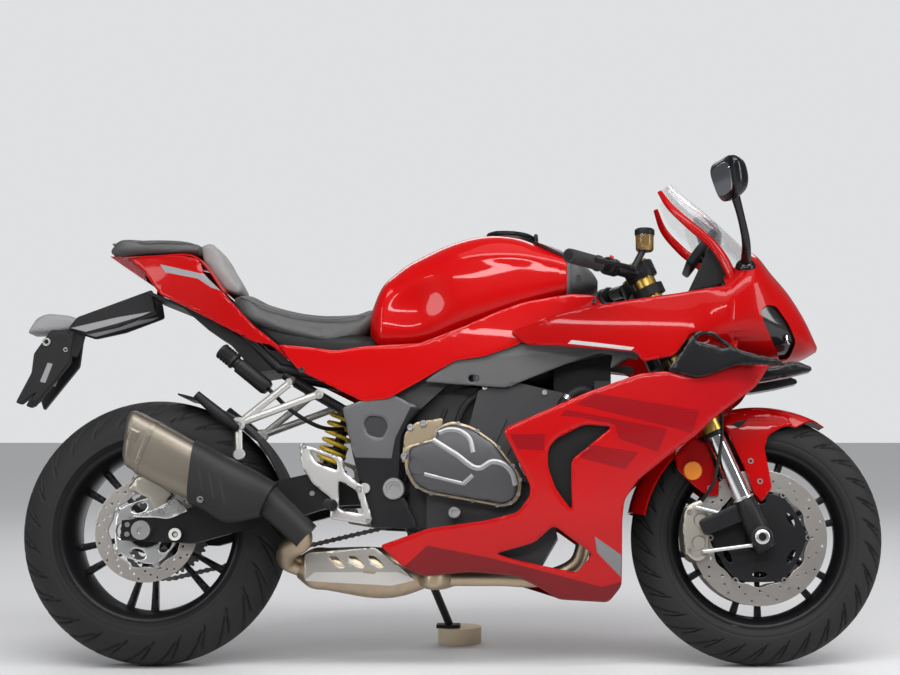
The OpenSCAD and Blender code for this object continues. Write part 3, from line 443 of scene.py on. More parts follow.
def bolt_tree():
    """Geometry Nodes: a socket-head bolt on every point, turned to the point's aim and scaled to its size."""
    tree = bpy.data.node_groups.new("bolt_heads", "GeometryNodeTree")
    tree.interface.new_socket("Geometry", in_out="INPUT", socket_type="NodeSocketGeometry")
    for label, value in (("Head height", 0.75), ("Socket share", 0.55), ("Socket depth", 0.45)):
        tree.interface.new_socket(label, in_out="INPUT", socket_type="NodeSocketFloat").default_value = value
    tree.interface.new_socket("Finish", in_out="INPUT", socket_type="NodeSocketMaterial")
    tree.interface.new_socket("Geometry", in_out="OUTPUT", socket_type="NodeSocketGeometry")
    nodes, links = tree.nodes, tree.links
    given, result = nodes.new("NodeGroupInput"), nodes.new("NodeGroupOutput")
    head = nodes.new("GeometryNodeMeshCylinder")
    head.inputs["Vertices"].default_value = 12
    head.inputs["Radius"].default_value = 1.0
    rim, recess = nodes.new("GeometryNodeExtrudeMesh"), nodes.new("GeometryNodeExtrudeMesh")
    rim.inputs["Offset Scale"].default_value = 0.0
    shrink = nodes.new("GeometryNodeScaleElements")
    sink = nodes.new("ShaderNodeMath")
    sink.operation = "MULTIPLY"
    sink.inputs[1].default_value = -1.0
    aim, size = nodes.new("GeometryNodeInputNamedAttribute"), nodes.new("GeometryNodeInputNamedAttribute")
    aim.data_type, size.data_type = "FLOAT_VECTOR", "FLOAT"
    aim.inputs["Name"].default_value, size.inputs["Name"].default_value = "aim", "size"
    turn = nodes.new("FunctionNodeAlignRotationToVector")
    scatter, real = nodes.new("GeometryNodeInstanceOnPoints"), nodes.new("GeometryNodeRealizeInstances")
    paint = nodes.new("GeometryNodeSetMaterial")
    links.new(given.outputs["Head height"], head.inputs["Depth"])
    links.new(head.outputs["Mesh"], rim.inputs["Mesh"])
    links.new(head.outputs["Top"], rim.inputs["Selection"])
    links.new(rim.outputs["Mesh"], shrink.inputs["Geometry"])
    links.new(rim.outputs["Top"], shrink.inputs["Selection"])
    links.new(given.outputs["Socket share"], shrink.inputs["Scale"])
    links.new(shrink.outputs["Geometry"], recess.inputs["Mesh"])
    links.new(rim.outputs["Top"], recess.inputs["Selection"])
    links.new(given.outputs["Socket depth"], sink.inputs[0])
    links.new(sink.outputs[0], recess.inputs["Offset Scale"])
    links.new(given.outputs["Geometry"], scatter.inputs["Points"])
    links.new(recess.outputs["Mesh"], scatter.inputs["Instance"])
    links.new(aim.outputs["Attribute"], turn.inputs["Vector"])
    links.new(turn.outputs["Rotation"], scatter.inputs["Rotation"])
    links.new(size.outputs["Attribute"], scatter.inputs["Scale"])
    links.new(scatter.outputs["Instances"], real.inputs["Geometry"])
    links.new(real.outputs["Geometry"], paint.inputs["Geometry"])
    links.new(given.outputs["Finish"], paint.inputs["Material"])
    links.new(paint.outputs["Geometry"], result.inputs["Geometry"])
    return tree


BOLT_HEADS = bolt_tree()


def grow(name, tree, points, attributes, inputs, body, nodes=()):
    """Runs a Geometry Nodes tree on loose points (bike millimetres) and keeps the plain mesh."""
    seed = bpy.data.meshes.new(name + "_points")
    seed.from_pydata([tuple(PARKED @ Vector(p)) for p in points], [], [])
    for label, kind, values in attributes:
        layer = seed.attributes.new(label, kind, "POINT")
        for item, value in zip(layer.data, values):
            if kind == "FLOAT_VECTOR":
                item.vector = value
            else:
                item.value = value
    holder = bpy.data.objects.new(name + "_grown", seed)
    scene.collection.objects.link(holder)
    modifier = holder.modifiers.new(name, "NODES")
    modifier.node_group = tree
    for item in tree.interface.items_tree:
        if item.in_out == "INPUT" and item.name in inputs:
            modifier[item.identifier] = inputs[item.name]
    bpy.context.view_layer.update()
    evaluated = holder.evaluated_get(bpy.context.evaluated_depsgraph_get())
    mesh = bpy.data.meshes.new_from_object(evaluated)
    mesh.name = name
    holder.modifiers.clear()
    bpy.data.objects.remove(holder)
    piece = bpy.data.objects.new(name, mesh)
    scene.collection.objects.link(piece)
    return settle(piece, body, nodes)


def bolts(name, body, spots, material):
    """Bolt heads on one body, each given as its place, its aim and its head radius in mm."""
    return grow(name, BOLT_HEADS, [s[0] for s in spots],
                [("aim", "FLOAT_VECTOR", [PARKED.to_3x3() @ Vector(s[1]) for s in spots]),
                 ("size", "FLOAT", [s[2] * 0.001 for s in spots])],
                {"Finish": material}, body)


def both_sides(spots):
    """The same bolts right and left, each given as x, distance from the middle, z and head radius."""
    return [((x, side * y, z), (0, side, 0), r) for side in (-1, 1) for x, y, z, r in spots]


bolt_steel = finish("bolt_steel", (0.52, 0.51, 0.49), (0.30, 0.29, 0.28), 0.24, 0.12, metal=1.0)
RIGHT, LEFT = (0, -1, 0), (0, 1, 0)
clutch_line = rounded(CLUTCH, 14.0, 20.0)
clutch_line = clutch_middle + 0.965 * (clutch_line - clutch_middle)
engine_spots = [((p[0], -153.5, p[1]), RIGHT, 5.2) for p in clutch_line[::5]]
engine_spots += [((p[0], 152.0, p[1]), LEFT, 5.0) for p in ring_of(ALTERNATOR, ALTERNATOR_R - 6, 9)]
engine_spots += [((x, -141.5, z), RIGHT, 6.0) for x, z in ((790, 648), (850, 655), (930, 636), (978, 610))]
engine_spots += [((x, 141.5, z), LEFT, 6.0) for x, z in ((790, 640), (850, 652), (930, 634), (978, 606),
                                                         (960, 500))]
bolts("engine_bolts", "chassis", engine_spots, bolt_steel)

# Hoses and looms round the engine. Black rubber hose clipped between the pump, the radiator
# and the head, with bright clamps at the ends.
hose_rubber = finish("hose_rubber", (0.009, 0.009, 0.010), (0.020, 0.020, 0.021), 0.5, 0.15, scale=700.0,
                     specular=0.25)
bm = bmesh.new()
for side in (-1, 1):
    tube(bm, [(1052, side * 130, 628), (1020, side * 138, 640), (985, side * 142, 622),
              (965, side * 136, 590)], 15)
    tube(bm, [(735, side * 100, 470), (722, side * 112, 540), (745, side * 118, 610),
              (800, side * 112, 650)], 9)
    tube(bm, [(690, side * 128, 470), (680, side * 132, 540), (700, side * 134, 600)], 6)
make_piece("engine_hoses", bm, hose_rubber, "chassis")
bm = bmesh.new()
for side in (-1, 1):
    lathe(bm, [(13, -5), (16.5, -5), (16.5, 5), (13, 5)], (985, side * 142, 622), (0.5, 0, 0.8), 24)
    lathe(bm, [(30, 0), (34, 0), (34, 10), (22, 16), (0, 16)], (905, side * 139, 470), (0, side, 0), 28)
lathe(bm, [(0, 138), (14, 138), (14, 152), (12, 154), (8, 154), (8, 148), (0, 148)], (722, 0, 356),
      (0, -1, 0), 28)
for x, z in ((618, 553), (648, 562), (604, 486)):
    lathe(bm, [(0, 146), (8, 146), (8, 154), (6, 156), (3, 156), (3, 152), (0, 152)],
          (x, 0, z), (0, -1, 0), 20)
make_piece("engine_fittings", bm, bright_metal, "chassis")
radiator_black = finish("radiator_black", (0.012, 0.012, 0.013), (0.030, 0.030, 0.030), 0.5, 0.2, metal=0.3)
dress(radiator_black, "radiator")
bm = bmesh.new()
for side in (-1, 1):
    panel(bm, [(950, 600), (950, 738), (1086, 738), (1086, 645), (1000, 600)], level(96), 3.0, 1.5, side=side)
make_piece("duct_walls", bm, hose_rubber, "chassis")

# Pivot plates. Cast aluminium plates bolted at the rear ends of the frame, grey above and black
# below, with a six-sided pocket in each.
PIVOT_PLATE = [(457, 601), (560, 640), (640, 600), (612, 566), (596, 530), (592, 410), (612, 380),
               (640, 318), (530, 323), (486, 480)]
PLATE_TOP = [(440, 590), (457, 604), (560, 645), (640, 606), (617, 602), (582, 529), (574, 482), (490, 484)]
POCKET = [(508, 565), (521, 581), (552, 578), (565, 558), (550, 529), (519, 537)]
plate_grey = finish("plate_grey", (0.085, 0.085, 0.089), (0.14, 0.14, 0.145), 0.36, 0.14, metal=0.4,
                    relief=0.3)
bm = bmesh.new()
for side in (-1, 1):
    panel(bm, PIVOT_PLATE, level(142), 6.0, 4.5, side=side, round_to=10.0, holes=[POCKET],
          zones=[(PLATE_TOP, 1)])
make_piece("pivot_plates", bm, [satin_black, plate_grey], "chassis")

# Swingarm, damper and hugger. A black cast arm turns on the pivot; the damper stands behind the
# engine in its painted coil spring, and its preload knob hangs on the right under the tail.
SPRING_FOOT, SPRING_TOP = np.array([407.0, 0, 472.0]), np.array([447.0, 0, 612.0])
SPRING_R, WIRE_R, COILS = 30.0, 5.0, 7.0
dress(satin_black, "swingarm")
moulded_black = finish("moulded_black", (0.008, 0.008, 0.009), (0.018, 0.018, 0.019), 0.40, 0.18,
                       scale=1500.0, relief=0.3, specular=0.22)
dress(moulded_black, "rear_hugger")
spring_paint = finish("spring_paint", (0.70, 0.46, 0.02), (0.55, 0.34, 0.01), 0.3, 0.1, coat=0.4)
run = (SPRING_TOP - SPRING_FOOT) / np.linalg.norm(SPRING_TOP - SPRING_FOOT)
side_way = np.cross(run, (0, 1, 0))
turns = np.linspace(0, COILS, int(COILS * 28))
bm = bmesh.new()
tube(bm, [SPRING_FOOT + (SPRING_TOP - SPRING_FOOT) * t / COILS
          + SPRING_R * (math.cos(2 * math.pi * t) * side_way
                        + math.sin(2 * math.pi * t) * np.array([0, 1, 0]))
          for t in turns], WIRE_R, 10, steps=1)
make_piece("shock_spring", bm, spring_paint, "chassis", ["shock"])
bm = bmesh.new()
lathe(bm, [(0, 0), (20, 0), (24, 6), (24, 34), (37, 36), (37, 46), (24, 48), (24, 90), (12, 92), (12, 176),
           (37, 180), (37, 190), (22, 192), (0, 192)], (404, 0, 427), (51, 0, 184), 36)
knob = np.array([168.0, -125.7, 738.0])
lathe(bm, [(0, 0), (17, 0), (20, 3)] + [(20 - 1.6 * (k % 2), 6 + 4 * k) for k in range(9)]
      + [(20, 44), (14, 47), (14, 54), (19, 57), (19, 138), (15, 146), (0, 149)], knob, (121, 0, -98), 36)
tube(bm, [(284, -125.7, 644), (330, -118, 600), (400, -80, 560), (446, -30, 560)], 5, 10)
make_piece("shock_damper", bm, satin_black, "chassis")

# Final drive. A roller chain in bare steel runs on the left from the gearbox to a toothed steel
# sprocket, which is bolted on the rear wheel.
PITCH, TEETH_REAR, TEETH_FRONT, CHAIN_Y = 15.875, 43, 16, 105.0
REAR_AXLE, FRONT_AXLE = np.array([0.0, 315.0]), np.array([1435.0, 300.0])
REAR_HUB, FRONT_HUB = (0, 0, 315), (1435, 0, 300)
GEARBOX = np.array([655.0, 402.0])
chain_steel = finish("chain_steel", (0.24, 0.23, 0.22), (0.10, 0.095, 0.09), 0.36, 0.2, metal=1.0)
pitch_r = PITCH / (2 * math.sin(math.pi / TEETH_REAR))
small_r = PITCH / (2 * math.sin(math.pi / TEETH_FRONT))
teeth = np.arange(TEETH_REAR * 6) * 2 * math.pi / (TEETH_REAR * 6)
tooth_r = pitch_r - 9.5 + 3.5 * np.tanh(2.2 * np.cos(teeth * TEETH_REAR))
bm = bmesh.new()
windows = [ring_of(REAR_AXLE + 72 * np.array([math.cos(a), math.sin(a)]), 14, 20)
           for a in np.arange(5) * 2 * math.pi / 5]
panel(bm, np.stack([tooth_r * np.cos(teeth), REAR_AXLE[1] + tooth_r * np.sin(teeth)], axis=1),
      level(CHAIN_Y + 3), 6.0, 0.6, side=1, raw=True, grid=24.0, holes=[ring_of(REAR_AXLE, 44, 48)] + windows)
make_piece("sprocket", bm, chain_steel, "rear_wheel", ["sprocket"])


def link_tree():
    """Geometry Nodes: one chain link (two waisted plates and a roller) on every point of the loop."""
    tree = bpy.data.node_groups.new("chain_links", "GeometryNodeTree")
    tree.interface.new_socket("Geometry", in_out="INPUT", socket_type="NodeSocketGeometry")
    for label, value in (("Pitch", PITCH * 0.001), ("Plate height", 0.0125), ("Plate thickness", 0.0018),
                         ("Plate spacing", 0.0125), ("Roller radius", 0.0046)):
        tree.interface.new_socket(label, in_out="INPUT", socket_type="NodeSocketFloat").default_value = value
    tree.interface.new_socket("Finish", in_out="INPUT", socket_type="NodeSocketMaterial")
    tree.interface.new_socket("Geometry", in_out="OUTPUT", socket_type="NodeSocketGeometry")
    nodes, links = tree.nodes, tree.links
    given, result = nodes.new("NodeGroupInput"), nodes.new("NodeGroupOutput")

    def sized(operation, one, two):
        node = nodes.new("ShaderNodeMath")
        node.operation = operation
        for socket, value in zip(node.inputs, (one, two)):
            if isinstance(value, str):
                links.new(given.outputs[value], socket)
            elif isinstance(value, float):
                socket.default_value = value
            else:
                links.new(value, socket)
        return node.outputs[0]

    def triple(x, y, z):
        node = nodes.new("ShaderNodeCombineXYZ")
        for socket, value in zip(node.inputs, (x, y, z)):
            if value is not None:
                links.new(value, socket)
        return node.outputs[0]

    half_pitch, half_gap = sized("MULTIPLY", "Pitch", 0.5), sized("MULTIPLY", "Plate spacing", 0.5)
    join = nodes.new("GeometryNodeJoinGeometry")
    bar = nodes.new("GeometryNodeMeshCube")
    links.new(triple(sized("MULTIPLY", "Pitch", 1.0), sized("MULTIPLY", "Plate thickness", 0.9),
                     sized("MULTIPLY", "Plate height", 0.68)), bar.inputs["Size"])
    eye, roller = nodes.new("GeometryNodeMeshCylinder"), nodes.new("GeometryNodeMeshCylinder")
    for node, height in ((eye, sized("MULTIPLY", "Plate thickness", 1.0)),
                         (roller, sized("ADD", "Plate spacing", 0.004))):
        node.inputs["Vertices"].default_value = 10
        links.new(height, node.inputs["Depth"])
    links.new(sized("MULTIPLY", "Plate height", 0.5), eye.inputs["Radius"])
    links.new(sized("MULTIPLY", "Roller radius", 1.0), roller.inputs["Radius"])
    for sign in (1.0, -1.0):
        offset = sized("MULTIPLY", half_gap, sign)
        for mesh, along, turned in ((bar.outputs["Mesh"], None, False),
                                    (eye.outputs["Mesh"], half_pitch, True),
                                    (eye.outputs["Mesh"], sized("MULTIPLY", half_pitch, -1.0), True)):
            place = nodes.new("GeometryNodeTransform")
            links.new(mesh, place.inputs["Geometry"])
            links.new(triple(along, offset, None), place.inputs["Translation"])
            if turned:
                place.inputs["Rotation"].default_value = (math.pi / 2, 0, 0)
            links.new(place.outputs["Geometry"], join.inputs["Geometry"])
    pin = nodes.new("GeometryNodeTransform")
    pin.inputs["Rotation"].default_value = (math.pi / 2, 0, 0)
    links.new(roller.outputs["Mesh"], pin.inputs["Geometry"])
    links.new(triple(half_pitch, None, None), pin.inputs["Translation"])
    links.new(pin.outputs["Geometry"], join.inputs["Geometry"])
    turn, widen = nodes.new("GeometryNodeInputNamedAttribute"), nodes.new("GeometryNodeInputNamedAttribute")
    turn.data_type = widen.data_type = "FLOAT_VECTOR"
    turn.inputs["Name"].default_value, widen.inputs["Name"].default_value = "turn", "widen"
    euler = nodes.new("FunctionNodeEulerToRotation")
    scatter, real = nodes.new("GeometryNodeInstanceOnPoints"), nodes.new("GeometryNodeRealizeInstances")
    paint = nodes.new("GeometryNodeSetMaterial")
    links.new(turn.outputs["Attribute"], euler.inputs["Euler"])
    links.new(given.outputs["Geometry"], scatter.inputs["Points"])
    links.new(join.outputs["Geometry"], scatter.inputs["Instance"])
    links.new(euler.outputs["Rotation"], scatter.inputs["Rotation"])
    links.new(widen.outputs["Attribute"], scatter.inputs["Scale"])
    links.new(scatter.outputs["Instances"], real.inputs["Geometry"])
    links.new(real.outputs["Geometry"], paint.inputs["Geometry"])
    links.new(given.outputs["Finish"], paint.inputs["Material"])
    links.new(paint.outputs["Geometry"], result.inputs["Geometry"])
    return tree


span = GEARBOX - REAR_AXLE
lift = math.atan2(span[1], span[0])
wrap = math.acos((pitch_r - small_r) / np.linalg.norm(span))
rear_arc = lift + wrap + np.linspace(0, 2 * math.pi - 2 * wrap, 400)
front_arc = lift - wrap + np.linspace(0, 2 * wrap, 200)
loop = np.concatenate([REAR_AXLE + (pitch_r + 1.5) * np.stack([np.cos(rear_arc), np.sin(rear_arc)], axis=1),
                       GEARBOX + (small_r + 1.5) * np.stack([np.cos(front_arc), np.sin(front_arc)], axis=1)])
loop = np.concatenate([loop, loop[:1]])
walked = np.concatenate([[0], np.cumsum(np.linalg.norm(np.diff(loop, axis=0), axis=1))])
link_count = 2 * round(walked[-1] / PITCH / 2)
stops = (np.arange(link_count) + 0.5) * walked[-1] / link_count
link_at = np.stack([np.interp(stops, walked, loop[:, k]) for k in (0, 1)], axis=1)
ahead = np.stack([np.interp((stops + 4) % walked[-1], walked, loop[:, k])
                  - np.interp((stops - 4) % walked[-1], walked, loop[:, k]) for k in (0, 1)], axis=1)
tilt = PARKED.to_3x3().normalized()
link_turns = [(tilt @ Matrix.Rotation(-math.atan2(v[1], v[0]), 3, "Y")).to_euler() for v in ahead]
link_widths = [(1, 1 - 0.26 * (k % 2), 1) for k in range(link_count)]
grow("chain", link_tree(), [(p[0], CHAIN_Y, p[1]) for p in link_at],
     [("turn", "FLOAT_VECTOR", link_turns), ("widen", "FLOAT_VECTOR", link_widths)],
     {"Finish": chain_steel}, "chassis", ["chain"])

# Wheels. Cast aluminium in black with six pairs of spokes; the road tyres have slanted grooves
# cut in a round crown, and fine moulded rings on their sides.
RIM_SEAT, RIM_INNER, SPOKE_T, SPOKE_PAIRS = 214.0, 188.0, 24.0, 6
wheel_black = finish("wheel_black", (0.005, 0.005, 0.006), (0.014, 0.014, 0.015), 0.28, 0.14, relief=0.15,
                     specular=0.25)
tyre_rubber = finish("tyre_rubber", (0.014, 0.014, 0.014), (0.032, 0.031, 0.031), 0.56, 0.2, scale=900.0,
                     relief=0.35, specular=0.2)


def build_rim(name, body, centre, half, hub_r, hub_half):
    """Cast wheel: a turned rim, a hub and paired spokes."""
    bm = bmesh.new()
    axle = (centre[0], 0, centre[1])
    seat = RIM_SEAT - 0.4
    section = [(RIM_INNER - 2, -10), (RIM_INNER + 6, -half + 14), (seat - 9, -half + 2), (seat - 6, -half),
               (seat, -half), (seat, half), (seat - 6, half), (seat - 9, half - 2),
               (RIM_INNER + 6, half - 14), (RIM_INNER - 2, 10)]
    count = 96
    rings = [[bm.verts.new((axle[0] + r * math.cos(a), h, axle[2] + r * math.sin(a)))
              for a in np.arange(count) * 2 * math.pi / count] for r, h in section]
    for one, two in zip(rings, rings[1:] + rings[:1]):
        for k in range(count):
            bm.faces.new([one[k], one[(k + 1) % count], two[(k + 1) % count], two[k]])
    lathe(bm, [(0, -hub_half), (hub_r - 6, -hub_half), (hub_r, -hub_half + 6), (hub_r - 8, -20),
               (hub_r - 8, 20), (hub_r, hub_half - 6), (hub_r - 6, hub_half), (0, hub_half)],
          axle, (0, 1, 0), 48)
    for pair in range(SPOKE_PAIRS):
        turn = (pair + 0.35) * 2 * math.pi / SPOKE_PAIRS
        for s in (-1, 1):
            flat = [(hub_r - 10, 6 * s - 8), (hub_r - 10, 6 * s + 8), (110, 18 * s + 6),
                    (RIM_INNER + 2, 31 * s + 9), (RIM_INNER + 2, 31 * s - 9), (110, 18 * s - 6)]
            turned = [(axle[0] + u * math.cos(turn) - v * math.sin(turn),
                       axle[2] + u * math.sin(turn) + v * math.cos(turn)) for u, v in flat]
            for side in (-1, 1):
                panel(bm, turned, level(SPOKE_T / 2), SPOKE_T / 2, 4.5, side=side, grid=20.0, round_to=5.0)
    return make_piece(name, bm, wheel_black, body, [name])


build_rim("front_rim", "front_wheel", FRONT_AXLE, 50.0, 44.0, 65.0)
build_rim("rear_rim", "rear_wheel", REAR_AXLE, 76.0, 52.0, 101.0)


def build_tyre(name, body, centre, radius, width, bead, grooves):
    """Road tyre: a round section swept about the axle, with slanted grooves pressed in along its normal."""
    steps, crown, tread_depth = 720, 76, 4.5
    lip = math.acos((RIM_SEAT + 10 - (radius - width / 2)) / (width / 2))
    sweep = np.linspace(-lip, lip, crown)
    r = radius - width / 2 + width / 2 * np.cos(sweep)
    y = width / 2 * np.sin(sweep)
    r = np.concatenate([[RIM_SEAT, RIM_SEAT + 3], r, [RIM_SEAT + 3, RIM_SEAT]])
    y = np.concatenate([[-bead, -bead - 3], y, [bead + 3, bead]])
    across = np.concatenate([[-1, -1], sweep / lip, [1, 1]])
    theta = np.arange(steps) * 2 * math.pi / steps
    share = np.abs(across)[:, None]
    phase = theta[None, :] * grooves / (2 * math.pi) + np.where(across < 0, 0.5, 0.0)[:, None]
    cut = np.zeros((len(across), steps))
    for start, lean, low, high, half in ((0.0, 1.9, 0.05, 0.70, 0.062), (0.46, 1.3, 0.30, 0.78, 0.050)):
        off = (phase - start - lean * share ** 1.4 + 0.5) % 1.0 - 0.5
        reach = np.clip((share - low) / 0.05, 0, 1) * np.clip((high - share) / 0.05, 0, 1)
        cut = np.maximum(cut, np.clip((half - np.abs(off)) / (0.45 * half), 0, 1) * reach)
    for ring in (0.80, 0.91):
        cut = np.maximum(cut, 0.35 * (np.abs(share - ring) < 0.012))
    sweep = np.concatenate([[0, 0], sweep, [0, 0]])[:, None]
    deep = r[:, None] - tread_depth * cut * np.cos(sweep)
    verts = np.stack([centre[0] + deep * np.cos(theta), y[:, None] - tread_depth * cut * np.sin(sweep),
                      centre[1] + deep * np.sin(theta)], axis=2).reshape(-1, 3)
    index = np.arange(len(r) * steps).reshape(len(r), steps)
    ahead = np.roll(index, -1, axis=1)
    upper, ahead_upper = np.roll(index, -1, axis=0), np.roll(ahead, -1, axis=0)
    faces = np.stack([index, upper, ahead_upper, ahead], axis=2).reshape(-1, 4)
    mesh = bpy.data.meshes.new(name)
    mesh.from_pydata(verts.tolist(), [], faces.tolist())
    bm = bmesh.new()
    bm.from_mesh(mesh)
    bpy.data.meshes.remove(mesh)
    return make_piece(name, bm, tyre_rubber, body, [name], sharp=50.0)


build_tyre("front_tyre", "front_wheel", FRONT_AXLE, 300.0, 120.0, 50.0, 30)
build_tyre("rear_tyre", "rear_wheel", REAR_AXLE, 315.0, 180.0, 76.0, 26)

# Brake discs. Drilled steel bands with a scalloped inner edge, carried by black star carriers in
# front and a bright one behind; the floating buttons show as small heads.
disc_steel = finish("disc_steel", (0.50, 0.47, 0.44), (0.34, 0.32, 0.30), 0.26, 0.14, metal=1.0, scale=1400.0,
                    stretch=(1, 0.1, 1), relief=0.2)
FRONT_DISC = dict(outside=160.0, inner=114.0, y=68.0, hub=40.0, fill=107.0, arms=6, drills=48,
                  window=(86, 7, 17))
REAR_DISC = dict(outside=120.0, inner=86.0, y=104.0, hub=46.0, fill=76.0, arms=5, drills=48,
                 window=(57, 12, 19))


def build_disc(bm, carrier, centre, side, outside, inner, y, hub, fill, arms, drills, window):
    """Drilled band and its carrier, with oval windows; returns the places of the buttons."""
    turn = np.arange(180) * 2 * math.pi / 180
    scallop = inner + 2.6 * np.cos(turn * arms * 2)
    holes = [np.stack([centre[0] + scallop * np.cos(turn), centre[1] + scallop * np.sin(turn)], axis=1)]
    band = outside - inner
    for k in range(drills):
        angle = 2 * math.pi * k / drills
        reach = (outside + inner) / 2 + band * 0.27 * (k % 3 - 1)
        holes.append(ring_of(centre + reach * np.array([math.cos(angle), math.sin(angle)]), 2.9, 10))
    panel(bm, ring_of(centre, outside, 180), level(y + 2.5), 5.0, 0.6, side=side, holes=holes, raw=True,
          grid=20.0)
    fine = np.arange(720) * 2 * math.pi / 720
    away = np.abs((fine * arms / (2 * math.pi) + 0.5) % 1.0 - 0.5) * 2 * math.pi / arms
    star = np.minimum(inner + 4, np.maximum(fill + 3 * np.cos(fine * arms),
                                            8.0 / np.sin(np.maximum(away, 0.02))))
    openings = [ring_of(centre, hub - 8, 40)]
    oval = ring_of((0, 0), 1, 24)
    for angle in (np.arange(arms) + 0.5) * 2 * math.pi / arms:
        out = np.array([math.cos(angle), math.sin(angle)])
        around = np.array([-math.sin(angle), math.cos(angle)])
        openings.append(centre + out * (window[0] + window[1] * oval[:, :1])
                        + around * window[2] * oval[:, 1:])
    panel(carrier, np.stack([centre[0] + star * np.cos(fine), centre[1] + star * np.sin(fine)], axis=1)[::2],
          level(y + 4.0), 8.0, 2.0, side=side, holes=openings, raw=True, grid=16.0)
    return [((centre[0] + (inner + 1) * math.cos(a), side * (y + 4.0), centre[1] + (inner + 1) * math.sin(a)),
             (0, side, 0), 7.0)
            for a in np.arange(arms) * 2 * math.pi / arms]


bm, carrier = bmesh.new(), bmesh.new()
buttons = [spot for side in (-1, 1) for spot in build_disc(bm, carrier, FRONT_AXLE, side, **FRONT_DISC)]
make_piece("front_discs", bm, disc_steel, "front_wheel", ["front_discs"])
make_piece("front_disc_carriers", carrier, satin_black, "front_wheel")
bolts("front_disc_buttons", "front_wheel", buttons, bolt_steel)
bm, carrier = bmesh.new(), bmesh.new()
buttons = build_disc(bm, carrier, REAR_AXLE, -1, **REAR_DISC)
make_piece("rear_disc", bm, disc_steel, "rear_wheel", ["rear_disc"])
make_piece("rear_disc_carrier", carrier, bright_metal, "rear_wheel")
sprocket_bolts = [((p[0], CHAIN_Y + 3.5, p[1]), LEFT, 8.0) for p in ring_of(REAR_AXLE, 57, 5, 0.6)]
bolts("rear_wheel_bolts", "rear_wheel", buttons + sprocket_bolts, bolt_steel)

# Rear brake and axle. A two-piston caliper on a bracket that the axle carries, with the bright
# torque plate outside the arm and a white paddock-stand bobbin below it.
caliper_metal = finish("caliper_metal", (0.46, 0.43, 0.37), (0.34, 0.31, 0.27), 0.30, 0.14, metal=0.9,
                       relief=0.25)
dress(bright_metal, "rear_axle")
bm = bmesh.new()
REAR_CALIPER = [(-44, 412), (-24, 440), (12, 444), (62, 404), (48, 376), (-8, 396)]
panel(bm, REAR_CALIPER, level(118.8), 8.0, 4.0, round_to=8.0)
panel(bm, REAR_CALIPER, level(97), 9.0, 3.0, round_to=8.0)
panel(bm, [(-44, 412), (-24, 440), (12, 444), (62, 404), (52, 426), (14, 450), (-30, 446)], level(118.0),
      29.0, 3.0, round_to=3.0)
panel(bm, [(2, 400), (50, 384), (74, 338), (40, 330)], level(118.8), 6.0, 2.0)
make_piece("rear_caliper", bm, caliper_metal, "chassis", ["rear_caliper"])
bm = bmesh.new()
panel(bm, [(-36, 344), (29, 364), (78, 390), (109, 360), (60, 340), (34, 344)], level(151), 5.6, 2.0,
      round_to=10.0)
for side in (-1, 1):
    lathe(bm, [(0, 145), (22, 145), (22, 156), (18, 159), (10, 159), (10, 153), (0, 153)], REAR_HUB,
          (0, side, 0), 6)
make_piece("axle_plates", bm, bright_metal, "chassis")
bobbin_white = finish("bobbin_white", (0.72, 0.71, 0.68), (0.60, 0.59, 0.56), 0.4)
bm = bmesh.new()
for side in (-1, 1):
    lathe(bm, [(0, 145), (14, 145), (11, 150), (11, 156), (14.5, 159), (14.5, 162), (7, 162), (7, 156),
               (0, 156)], (80, 0, 305), (0, side, 0), 28)
make_piece("bobbins", bm, bobbin_white, "chassis")
bolts("arm_bolts", "chassis",
      [((x, -151.2, z), RIGHT, 7.0) for x, z in ((66, 378), (88, 364), (44, 356))]
      + both_sides([(x, 146.0, z, 6.0) for x, z in ((-34, 306), (-34, 328), (300, 380), (392, 400))]),
      bolt_steel)

# Fork and yokes. Upside-down fork: gold anodised outer tubes held in black forged yokes, with
# chromed legs that end in black cast feet.
RAKE, FORK_Y = math.radians(24.0), 105.0
FORK_WAY = np.array([-math.sin(RAKE), 0.0, math.cos(RAKE)])


def on_fork(x, y, z):
    """A place given ahead of the fork leg, across, and up the leg from the axle."""
    return np.array([FRONT_AXLE[0] + x * math.cos(RAKE) - z * math.sin(RAKE), y,
                     FRONT_AXLE[1] + x * math.sin(RAKE) + z * math.cos(RAKE)])


gold_anodised = finish("gold_anodised", (0.62, 0.40, 0.10), (0.46, 0.29, 0.06), 0.26, 0.1, metal=1.0)
chrome = finish("chrome", (0.72, 0.72, 0.72), (0.60, 0.60, 0.60), 0.09, 0.06, metal=1.0)
dress(gold_anodised, "fork_tubes")
dress(satin_black, "yokes")
bm, feet = bmesh.new(), bmesh.new()
for side in (-1, 1):
    foot_at = on_fork(0, side * FORK_Y, 0)
    lathe(bm, [(0, 80), (21.4, 80), (21.4, 326), (0, 326)], foot_at, FORK_WAY, 40)
    lathe(feet, [(0, -34), (19, -34), (26, -29), (27.5, -20), (27.5, 62), (25.5, 84), (22.6, 96), (0, 96)],
          foot_at, FORK_WAY, 40)
    lathe(feet, [(21.6, 258), (25.5, 260), (25.5, 268), (21.6, 270)], foot_at, FORK_WAY, 40)
    lathe(feet, [(9, 80), (24, 80), (26, 84), (26, 134), (22, 137), (9, 137)], FRONT_HUB, (0, side, 0), 40)
    panel(feet, [tuple(on_fork(x, 0, z)[[0, 2]]) for x, z in ((-118, 55), (-6, 50), (-6, 95), (-118, 95))],
          level(113), 20.8, 5.0, side=side, round_to=12.0)
make_piece("fork_legs", bm, chrome, "steering", ["fork_legs"])
make_piece("fork_feet", feet, satin_black, "steering")
bm = bmesh.new()
